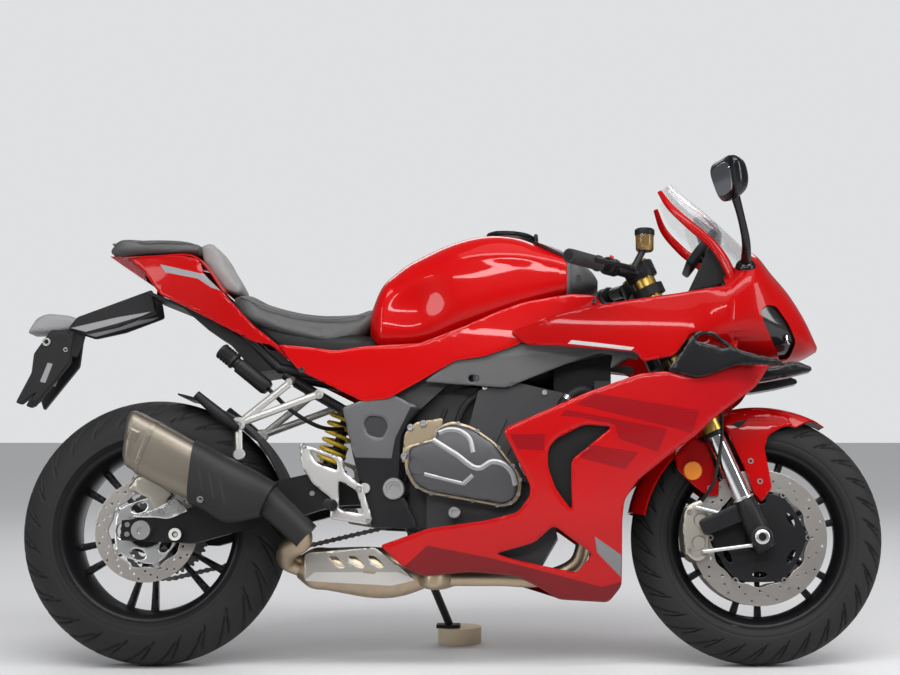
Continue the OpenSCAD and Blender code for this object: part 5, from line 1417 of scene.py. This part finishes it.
for side in (-1, 1):
    tube(bm, [(1466, side * 146, 826), (1492, side * 128, 820), (1514, side * 108, 792)], 3.0, 10)
    lathe(bm, [(0, 0), (14, 0), (16, 5), (13, 7), (9, 3), (0, 3)], (1502, side * 112, 768),
          (0.86, side * 0.5, 0.05), 24)
make_piece("lamp_elements", bm, lamp_chrome, "chassis")
clear_plastic = finish("clear_plastic", (0.86, 0.90, 0.92), (0.82, 0.86, 0.88), 0.03, 0.02, scale=50.0,
                       relief=0.0, shader=[("Transmission Weight", 0.94), ("IOR", 1.30), ("Alpha", 0.24)])
knots = np.linspace(0, 4, 49)
line = np.stack([curve(np.arange(5), [row[k] for row in SCREEN], knots) for k in range(3)], axis=1)
q = np.linspace(-1, 1, 41)[None, :]
outer = np.stack([line[:, :1] - 0.28 * line[:, 2:] * q ** 2, line[:, 2:] * q,
                  line[:, 1:2] - 0.34 * line[:, 2:] * q ** 2], axis=2)
bm = bmesh.new()
shell(bm, outer, outer - [1.9, 0, 2.3])
make_piece("windscreen", bm, clear_plastic, "chassis", ["windscreen"], sharp=60.0)

# Dash. A blank flat display in a black moulded case, carried by two struts from a cross bar and set
# between the inner panels of the nose, under the screen.
DASH_TURN = Matrix.Translation((1306, 0, 994)) @ Matrix.Rotation(math.radians(-52), 4, "Y")


def block(bm, size, place, bevel):
    """Box with rolled edges."""
    made = bmesh.ops.create_cube(bm, size=1.0, matrix=place @ Matrix.Diagonal((*size, 1.0)))["verts"]
    edges = list({e for v in made for e in v.link_edges})
    bmesh.ops.bevel(bm, geom=edges, offset=bevel, segments=3, profile=0.5, affect="EDGES")


bm = bmesh.new()
block(bm, (104, 168, 20), DASH_TURN, 6.0)
for side in (-1, 1):
    tube(bm, [(1312, side * 40, 990), (1362, side * 40, 925), (1400, side * 40, 882)], 8, 14)
block(bm, (10, 354, 20), Matrix.Translation((1400, 0, 882)), 2.0)
for side in (-1, 1):
    panel(bm, [(1268, 877), (1322, 991), (1347, 948), (1368, 907), (1338, 894)], level(122), 3.0, 1.5,
          side=side, round_to=5.0)
make_piece("dash", bm, moulded_black, "chassis", ["dash"])
bm = bmesh.new()
block(bm, (84, 146, 3), DASH_TURN @ Matrix.Translation((0, 0, 10.2)), 1.2)
make_piece("dash_display", bm, lamp_glass, "chassis")

# Fairing. Painted side mouldings with rolled edges, two vents and darker printed bands, a maroon
# belly below the fold, and black winglets fixed at the front edge.
FAIRING = [(843, 548), (1031, 628), (1150, 670), (1211, 676), (1273, 664), (1300, 672), (1373, 697),
           (1456, 700), (1421, 646), (1328, 576), (1276, 528), (1210, 480), (1144, 427), (1114, 383),
           (1109, 338), (1109, 187), (1079, 149), (962, 156), (923, 181), (865, 210), (761, 219),
           (647, 210), (610, 226), (548, 280), (663, 319), (795, 336), (869, 354), (898, 392), (898, 417),
           (838, 536)]
FAIRING_LEFT = FAIRING[:18] + [(761, 219), (733, 218), (733, 329)] + FAIRING[23:]
VENTS = [[(957, 521), (1021, 553), (1085, 548), (992, 472), (992, 417), (994, 358), (957, 407), (939, 456),
          (939, 497)],
         [(952, 325), (1041, 261), (1006, 217), (868, 246), (818, 261), (907, 286)]]
BANDS = [[(1046, 624), (1286, 586), (1268, 534), (1220, 547), (1002, 599)],
         [(980, 587), (1212, 543), (1190, 490), (1155, 503), (1100, 520), (1092, 552), (1015, 568),
          (967, 573)],
         [(1028, 508), (1146, 490), (1115, 451), (1011, 477)],
         [(852, 532), (932, 532), (930, 494), (868, 498)]]
BELLY = [(601, 227), (660, 280), (807, 251), (904, 227), (1063, 185), (1130, 203), (1130, 120), (591, 120)]
WEDGE = [(1046, 300), (1107, 258), (1107, 207), (1052, 263)]
fairing_skin = table_surface([540, 700, 850, 1000, 1120, 1300, 1470], [140, 220, 320, 440, 560, 695],
                             [[95, 100, 105, 108, 100, 95, 95], [130, 136, 142, 147, 142, 130, 120],
                              [142, 166, 180, 186, 182, 165, 140], [150, 186, 204, 210, 208, 190, 150],
                              [160, 195, 214, 226, 226, 210, 160], [165, 195, 215, 230, 230, 218, 168]])


def paint_shade_along(material, low, high, dark):
    """Paints shade into a lacquer: its colour falls to a darker tone along the bike, between two places in
    metres.
    """
    nodes, links = material.node_tree.nodes, material.node_tree.links
    coords, split = nodes.new("ShaderNodeTexCoord"), nodes.new("ShaderNodeSeparateXYZ")
    painted_shade_ramp, tint = nodes.new("ShaderNodeMapRange"), nodes.new("ShaderNodeMix")
    tint.data_type = "RGBA"
    painted_shade_ramp.inputs["From Min"].default_value, painted_shade_ramp.inputs["From Max"].default_value = low, high
    tint.inputs[6].default_value = nodes["grain"].inputs["Colour"].default_value
    tint.inputs[7].default_value = (*dark, 1)
    links.new(coords.outputs["Object"], split.inputs["Vector"])
    links.new(split.outputs["X"], painted_shade_ramp.inputs["Value"])
    links.new(painted_shade_ramp.outputs["Result"], tint.inputs[0])
    links.new(tint.outputs[2], nodes["grain"].inputs["Colour"])
    return material


lacquer = [("Specular IOR Level", 0.12), ("Coat Weight", 0.6), ("Coat IOR", 1.38), ("Coat Roughness", 0.04)]
# Painted shade: the fairing's red darkens towards its front edge in the colour itself, standing in for the
# dark floor reflected there.
fairing_red_painted_shade = paint_shade_along(finish("fairing_red_painted_shade", (0.45, 0.002, 0.003), (0.36, 0.0015, 0.002), 0.27, 0.05,
                            scale=2400.0, relief=0.02, shader=lacquer), 0.30, 0.72, (0.33, 0.004, 0.008))
belly_red = finish("belly_red", (0.17, 0.002, 0.004), (0.13, 0.0015, 0.003), 0.32, 0.06, scale=2400.0,
                   relief=0.02, shader=lacquer)
wedge_grey = finish("wedge_grey", (0.16, 0.16, 0.165), (0.22, 0.22, 0.225), 0.36, 0.1, relief=0.05,
                    shader=lacquer)
band_red = finish("band_red", (0.26, 0.003, 0.006), (0.20, 0.002, 0.005), 0.3, 0.05, scale=2400.0,
                  relief=0.02, shader=lacquer)
nodes, links = band_red.node_tree.nodes, band_red.node_tree.links
hatch, hatch_tint = nodes.new("ShaderNodeTexWave"), nodes.new("ShaderNodeMix")
hatch.bands_direction = "Z"
hatch.inputs["Scale"].default_value = 90.0
hatch_tint.data_type = "RGBA"
hatch_tint.inputs[6].default_value = (0.20, 0.002, 0.005, 1)
hatch_tint.inputs[7].default_value = (0.32, 0.003, 0.006, 1)
links.new(nodes["Mapping"].outputs["Vector"], hatch.inputs["Vector"])
links.new(hatch.outputs["Fac"], hatch_tint.inputs[0])
links.new(hatch_tint.outputs[2], nodes["grain"].inputs["Colour"])
bm = bmesh.new()
zones = [(BELLY, 2), (WEDGE, 3)] + [(band, 1) for band in BANDS]
panel(bm, FAIRING, fairing_skin, 4.0, 6.0, side=-1, holes=VENTS, round_to=12.0, grid=13.0, zones=zones)
panel(bm, FAIRING_LEFT, fairing_skin, 4.0, 6.0, side=1, holes=VENTS, round_to=12.0, grid=13.0, zones=zones)
make_piece("side_fairings", bm, [fairing_red_painted_shade, band_red, belly_red, wedge_grey], "chassis", ["side_fairings"])
vent_black = finish("vent_black", (0.006, 0.006, 0.006), (0.014, 0.014, 0.014), 0.55, 0.2, specular=0.2)
bm = bmesh.new()
vent_middle = np.mean(VENTS[0], axis=0)
vent_back = [tuple(vent_middle + 1.10 * (np.array(p) - vent_middle)) for p in VENTS[0]]
for side in (-1, 1):
    panel(bm, vent_back, lambda x, z: fairing_skin(x, z) - 15.0, 2.0, 1.0, side=side, grid=18.0)
make_piece("vent_panels", bm, vent_black, "chassis")
winglet_black = finish("winglet_black", (0.004, 0.004, 0.005), (0.009, 0.009, 0.010), 0.14, 0.1, relief=0.1,
                       specular=0.4)
WING = [(1211, 678), (1276, 660), (1300, 664), (1373, 690), (1480, 692), (1474, 701), (1380, 724),
        (1347, 744), (1319, 767), (1282, 769), (1264, 751), (1236, 708)]
SCOOP = [(1280, 752), (1290, 761), (1313, 760), (1333, 746), (1354, 728), (1318, 735), (1282, 744)]
LIP = [(1400, 697), (1470, 697), (1515, 711), (1553, 696), (1555, 687), (1502, 674), (1433, 662), (1396, 684)]
bm = bmesh.new()
for side in (-1, 1):
    panel(bm, WING, lambda x, z: 232 - 0.055 * np.maximum(x - 1300, 0), 9.0, 3.5, side=side, holes=[SCOOP],
          round_to=8.0)
    panel(bm, LIP, level(153), 53.0, 5.0, side=side, round_to=8.0)
    blade = np.linspace(0, 1, 31)[:, None]
    out = np.linspace(150, 221, 9)[None, :]
    arch = np.sin(math.pi * blade) ** 0.7 + 0 * out
    top = np.stack([1236 + 184 * blade + 0 * out, side * (out + 0 * blade), 700 + 8 * arch], axis=2)
    shell(bm, top, top - np.stack([0 * arch, 0 * arch, 1.5 + 9 * arch], axis=2))
make_piece("winglets", bm, winglet_black, "chassis", ["winglets"])

# Mirrors. Black moulded shells on cast stalks, each with a silvered glass set in its back; the stalks
# stand on the nose.
MIRROR = [(-16, 52, -38, 38, 0.55), (-12, 60, -46, 46, 0.55), (-6, 62, -48, 48, 0.56),
          (14, 56, -43, 43, 0.65), (28, 42, -32, 32, 0.75), (36, 22, -17, 17, 0.85), (39, 6, -5, 5, 0.95)]
MIRROR_GLASS = [(-18, 46, -34, 34, 0.55), (-15, 48, -36, 36, 0.55)]


def widen_upwards(x, y, z):
    return x, y * (1 + 0.004 * z), z


mirror_glass = finish("mirror_glass", (0.30, 0.31, 0.33), (0.26, 0.27, 0.29), 0.03, 0.02, metal=1.0,
                      relief=0.0)
bm, glass = bmesh.new(), bmesh.new()
for side in (-1, 1):
    turn = Matrix.Rotation(math.radians(-18 * side), 4, "Z") @ Matrix.Rotation(math.radians(-14), 4, "Y")
    head = Matrix.Translation((1350, side * 312, 1105)) @ turn
    loft(bm, MIRROR, 40, 72, widen_upwards, place=head)
    tube(bm, [(1402, side * 160, 935), (1396, side * 226, 978), (1380, side * 268, 1030),
              (1362, side * 302, 1078)], [13, 10, 9, 11], 18)
    lathe(bm, [(0, -4), (22, -4), (24, 0), (20, 8), (12, 14), (0, 14)], (1402, side * 162, 932),
          (-0.05, side * 0.8, 0.6), 28)
    loft(glass, MIRROR_GLASS, 3, 72, widen_upwards, place=head)
make_piece("mirrors", bm, winglet_black, "chassis", ["mirrors"], sharp=60.0)
make_piece("mirror_glasses", glass, mirror_glass, "chassis")

# Exhaust. Bent steel headers join in a box under the engine and a catalyst pipe; a bronze-toned
# can with an embossed side and a black heat shield stands on the right.
CAN = [(-165, 36, -20, 58, 0.9), (-120, 50, -58, 61, 0.75), (-20, 58, -62, 62, 0.6), (60, 61, -64, 62, 0.5),
       (120, 61, -63, 64, 0.5), (150, 61, -60, 64, 0.5), (172, 60, -56, 62, 0.5), (178, 56, -51, 58, 0.55)]
SHIELD = [(-168, 40, -24, 62, 0.9), (-120, 54, -62, 65, 0.75), (-20, 62, -66, 66, 0.6),
          (10.5, 64, -68, 67, 0.55)]
SLOTS = [[(152, 454), (159, 454), (168, 399), (163, 397)], [(175, 442), (182, 440), (194, 382), (188, 381)],
         [(199, 427), (206, 427), (219, 370), (212, 369)]]
STRAP = [(122, 61.9, -63.5, 64.5, 0.5), (124, 62.2, -64, 65, 0.5), (132, 62.2, -63.5, 65, 0.5),
         (134, 61.9, -63, 64.5, 0.5)]
CAN_TILT, CAN_AT = math.radians(27.0), (144, -212, 440)
CAN_FRAME = Matrix(((-math.cos(CAN_TILT), 0, math.sin(CAN_TILT), CAN_AT[0]), (0, 1, 0, CAN_AT[1]),
                    (math.sin(CAN_TILT), 0, math.cos(CAN_TILT), CAN_AT[2]), (0, 0, 0, 1)))
pipe_steel = finish("pipe_steel", (0.46, 0.37, 0.26), (0.28, 0.21, 0.15), 0.32, 0.16, metal=1.0, scale=60.0,
                    relief=0.1)
can_bronze = finish("can_bronze", (0.21, 0.185, 0.150), (0.14, 0.125, 0.105), 0.34, 0.12, metal=0.85,
                    scale=1100.0, stretch=(0.2, 1, 1), relief=0.2)
pipe_dark = finish("pipe_dark", (0.010, 0.009, 0.009), (0.020, 0.018, 0.016), 0.7, 0.1)
bm = bmesh.new()
for top, low in ((-75, -72), (-25, -38), (25, 2), (75, 36)):
    tube(bm, [(988, top, 590), (1018, top, 562), (1030, top, 500), (1026, top, 340),
              (1004, (top + low) / 2, 240), (930, low, 206), (820, low, 205), (700, low, 205)], 18, 20)
loft(bm, [(632, 60, 188, 224, 0.7), (640, 78, 184, 226, 0.6), (706, 78, 184, 226, 0.6),
          (714, 66, 187, 223, 0.7)], 16, 48, place=Matrix.Translation((0, -19, 0)))
tube(bm, [(660, -52, 211), (640, -52, 212), (600, -53, 214), (420, -58, 227), (380, -59, 229.5),
          (350, -60, 232)], [24, 34, 50, 50, 46, 26], 36)
tube(bm, [(362, -60, 231), (330, -84, 246), (336, -130, 268), (376, -178, 296), (366, -196, 325),
          (320, -199, 362), (284, -200, 396)], 24, 28)
make_piece("exhaust_pipes", bm, pipe_steel, "chassis", ["exhaust_pipes"], sharp=50.0)


def can_end(x, y, z):
    """Slants the outlet end of the can."""
    return x + 0.38 * z * np.clip((x - 90) / 85, 0, 1) ** 1.5, y, z


bm = bmesh.new()
loft(bm, CAN, 64, 96, can_end, place=CAN_FRAME)
loft(bm, STRAP, 6, 96, can_end, place=CAN_FRAME)
u, v = np.meshgrid(np.linspace(146, 172, 24), np.linspace(-2, 26, 24), indexing="ij")
border = np.clip(np.minimum.reduce([(u - 146) / 4, (172 - u) / 4, (v + 2) / 4, (26 - v) / 4]), 0, 1)
plate = np.stack([u + 0.2 * v, -body_side(CAN, u.ravel(), v.ravel()).reshape(u.shape) - 1.6 * border, v],
                 axis=2)
to_bike = np.array(CAN_FRAME)
shell(bm, *(wall @ to_bike[:3, :3].T + to_bike[:3, 3] for wall in (plate, plate + [0, 4.0, 0])))
make_piece("muffler", bm, can_bronze, "chassis", ["muffler"], sharp=40.0)
bm = bmesh.new()
can_way = to_bike[:3, 0]
lathe(bm, [(0, 168), (25, 168), (25, 184), (30, 184), (30, 170)], to_bike[:3, 3] + 20 * to_bike[:3, 2],
      can_way, 40)
make_piece("muffler_outlet", bm, pipe_dark, "chassis")
shield_grey = finish("shield_grey", (0.012, 0.012, 0.013), (0.026, 0.026, 0.027), 0.42, 0.14, relief=0.3,
                     specular=0.25)
bm, slits = bmesh.new(), bmesh.new()
loft(bm, SHIELD, 40, 96, lambda x, y, z: (x + 0.4 * z * np.clip((x + 120) / 130, 0, 1), y, z),
     place=CAN_FRAME)
tube(bm, [(286, -201, 394), (330, -197, 354), (388, -192, 300)], [36, 34, 32.5], 36)


def shield_skin(x, z):
    """Depth of the heat shield in the bike's frame."""
    u = -(x - CAN_AT[0]) * math.cos(CAN_TILT) + (z - CAN_AT[2]) * math.sin(CAN_TILT)
    v = (x - CAN_AT[0]) * math.sin(CAN_TILT) + (z - CAN_AT[2]) * math.cos(CAN_TILT)
    return 212.8 + body_side(SHIELD, u, v)


for slot in SLOTS:
    panel(slits, slot, shield_skin, 2.5, 0.6, round_to=3.0, grid=8.0)
make_piece("muffler_shield", bm, shield_grey, "chassis", ["muffler_shield"], sharp=50.0)
make_piece("shield_slots", slits, pipe_dark, "chassis")
rivets = []
for a, b in ((127.0, -36.0), (127.0, -26.0), (127.0, 28.0), (127.0, 38.0)):
    can_side = float(body_side(CAN, np.array([a]), np.array([b]))[0])
    rivets.append(tuple(CAN_FRAME @ Vector((a + 0.1 * b, -can_side - 1.4, b))))
shield_screw = (160, -float(shield_skin(np.array([160.0]), np.array([380.0]))[0]), 380)
bolts("muffler_rivets", "chassis", [(p, RIGHT, 3.6) for p in rivets] + [(shield_screw, RIGHT, 7.5)],
      bolt_steel)
GUARD = [(372, 263), (535, 277), (605, 224), (631, 201), (575, 187), (372, 199)]
guard_metal = finish("guard_metal", (0.40, 0.38, 0.35), (0.29, 0.27, 0.25), 0.34, 0.14, metal=0.85)
guard_pale = finish("guard_pale", (0.60, 0.58, 0.55), (0.48, 0.46, 0.44), 0.34, 0.12, metal=0.7)
bm = bmesh.new()
slots = [[(427 + 45 * k, 257), (445 + 45 * k, 257), (468 + 45 * k, 230), (450 + 45 * k, 232)]
         for k in range(3)]
panel(bm, GUARD, level(114.4), 4.0, 2.5, holes=slots, round_to=9.0, grid=14.0,
      zones=[([(371, 180), (371, 199), (396, 219), (588, 219), (632, 203), (640, 180)], 1)])
make_piece("catalyst_guard", bm, [guard_metal, guard_pale], "chassis", ["catalyst_guard"])

# Footrests. Bright cast hangers with ribbed pegs for the rider, tube hangers with slim pegs for the
# passenger, bolted on the frame and the seat rails, and the caps of the swingarm pivot.
HANGER = [(362, 517), (463, 482), (468, 447), (510, 417), (534, 336), (521, 327), (435, 341), (439, 387),
          (394, 422), (368, 461)]
hanger_silver = finish("hanger_silver", (0.58, 0.57, 0.55), (0.44, 0.43, 0.42), 0.30, 0.14, metal=0.85,
                       relief=0.3)
bm, pegs = bmesh.new(), bmesh.new()
for side in (-1, 1):
    panel(bm, HANGER, level(160), 10.0, 3.5, side=side, round_to=9.0, grid=11.0,
          holes=[[(386, 500), (448, 476), (452, 452), (402, 470)],
                 [(454, 430), (496, 406), (512, 352), (456, 362)]])
    lathe(bm, [(0, 136), (12, 136), (12, 151), (0, 151)], (514, 0, 412), (0, side, 0), 24)
    lathe(pegs, [(0, 158), (14, 158), (14, 166)] + [(11.5 - 1.4 * (k % 2), 168 + 3.2 * k) for k in range(20)]
          + [(10, 233), (0, 235)], (440, 0, 372), (0, side, 0), 20)
    for a, b in (((333, 655), (218, 561)), ((404, 631), (218, 561)), ((218, 566), (222, 486))):
        tube(bm, [(a[0], side * 152, a[1]), (b[0], side * 152, b[1])], 9.0, 18, 0.68)
    for x, z, r in ((218, 561, 16), (222, 490, 14), (404, 631, 11)):
        lathe(bm, [(0, 146), (r - 2, 146), (r, 148), (r, 156), (r - 2, 158), (0, 158)], (x, 0, z),
              (0, side, 0), 28)
    tube(bm, [(333, side * 150, 660), (333, side * 93, 672)], 8, 14)
    tube(pegs, [(216, side * 160, 550), (210, side * 167, 555), (125, side * 180, 627)], [9, 11, 10], 18)
make_piece("rider_hangers", bm, hanger_silver, "chassis", ["rider_hangers", "passenger_hangers"])
make_piece("footpegs", pegs, moulded_black, "chassis")
bolts("hanger_bolts", "chassis",
      both_sides([(502, 160.3, 410, 8.0), (525, 160.3, 336, 6.5), (374, 160.3, 510, 6.5),
                  (404, 158.2, 631, 7.0), (218, 158.2, 561, 7.5)]), bolt_steel)
bm = bmesh.new()
for side in (-1, 1):
    lathe(bm, [(0, 141), (25, 141), (25, 147), (23, 149), (17, 149), (16, 146.5), (11, 146.5), (11, 143),
               (0, 143)], (580, 0, 411), (0, side, 0), 40)
make_piece("pivot_caps", bm, rib_silver, "chassis")

# Side stand and puck. A bent steel leg with a flat foot, painted black and hinged on the frame, and
# the loose round wooden puck that it is parked on.
puck_wood = finish("puck_wood", (0.80, 0.69, 0.50), (0.70, 0.58, 0.40), 0.55, 0.15, scale=45.0,
                   stretch=(6, 1, 1), relief=0.25)
dress(satin_black, "side_stand")
dress(puck_wood, "stand_puck")
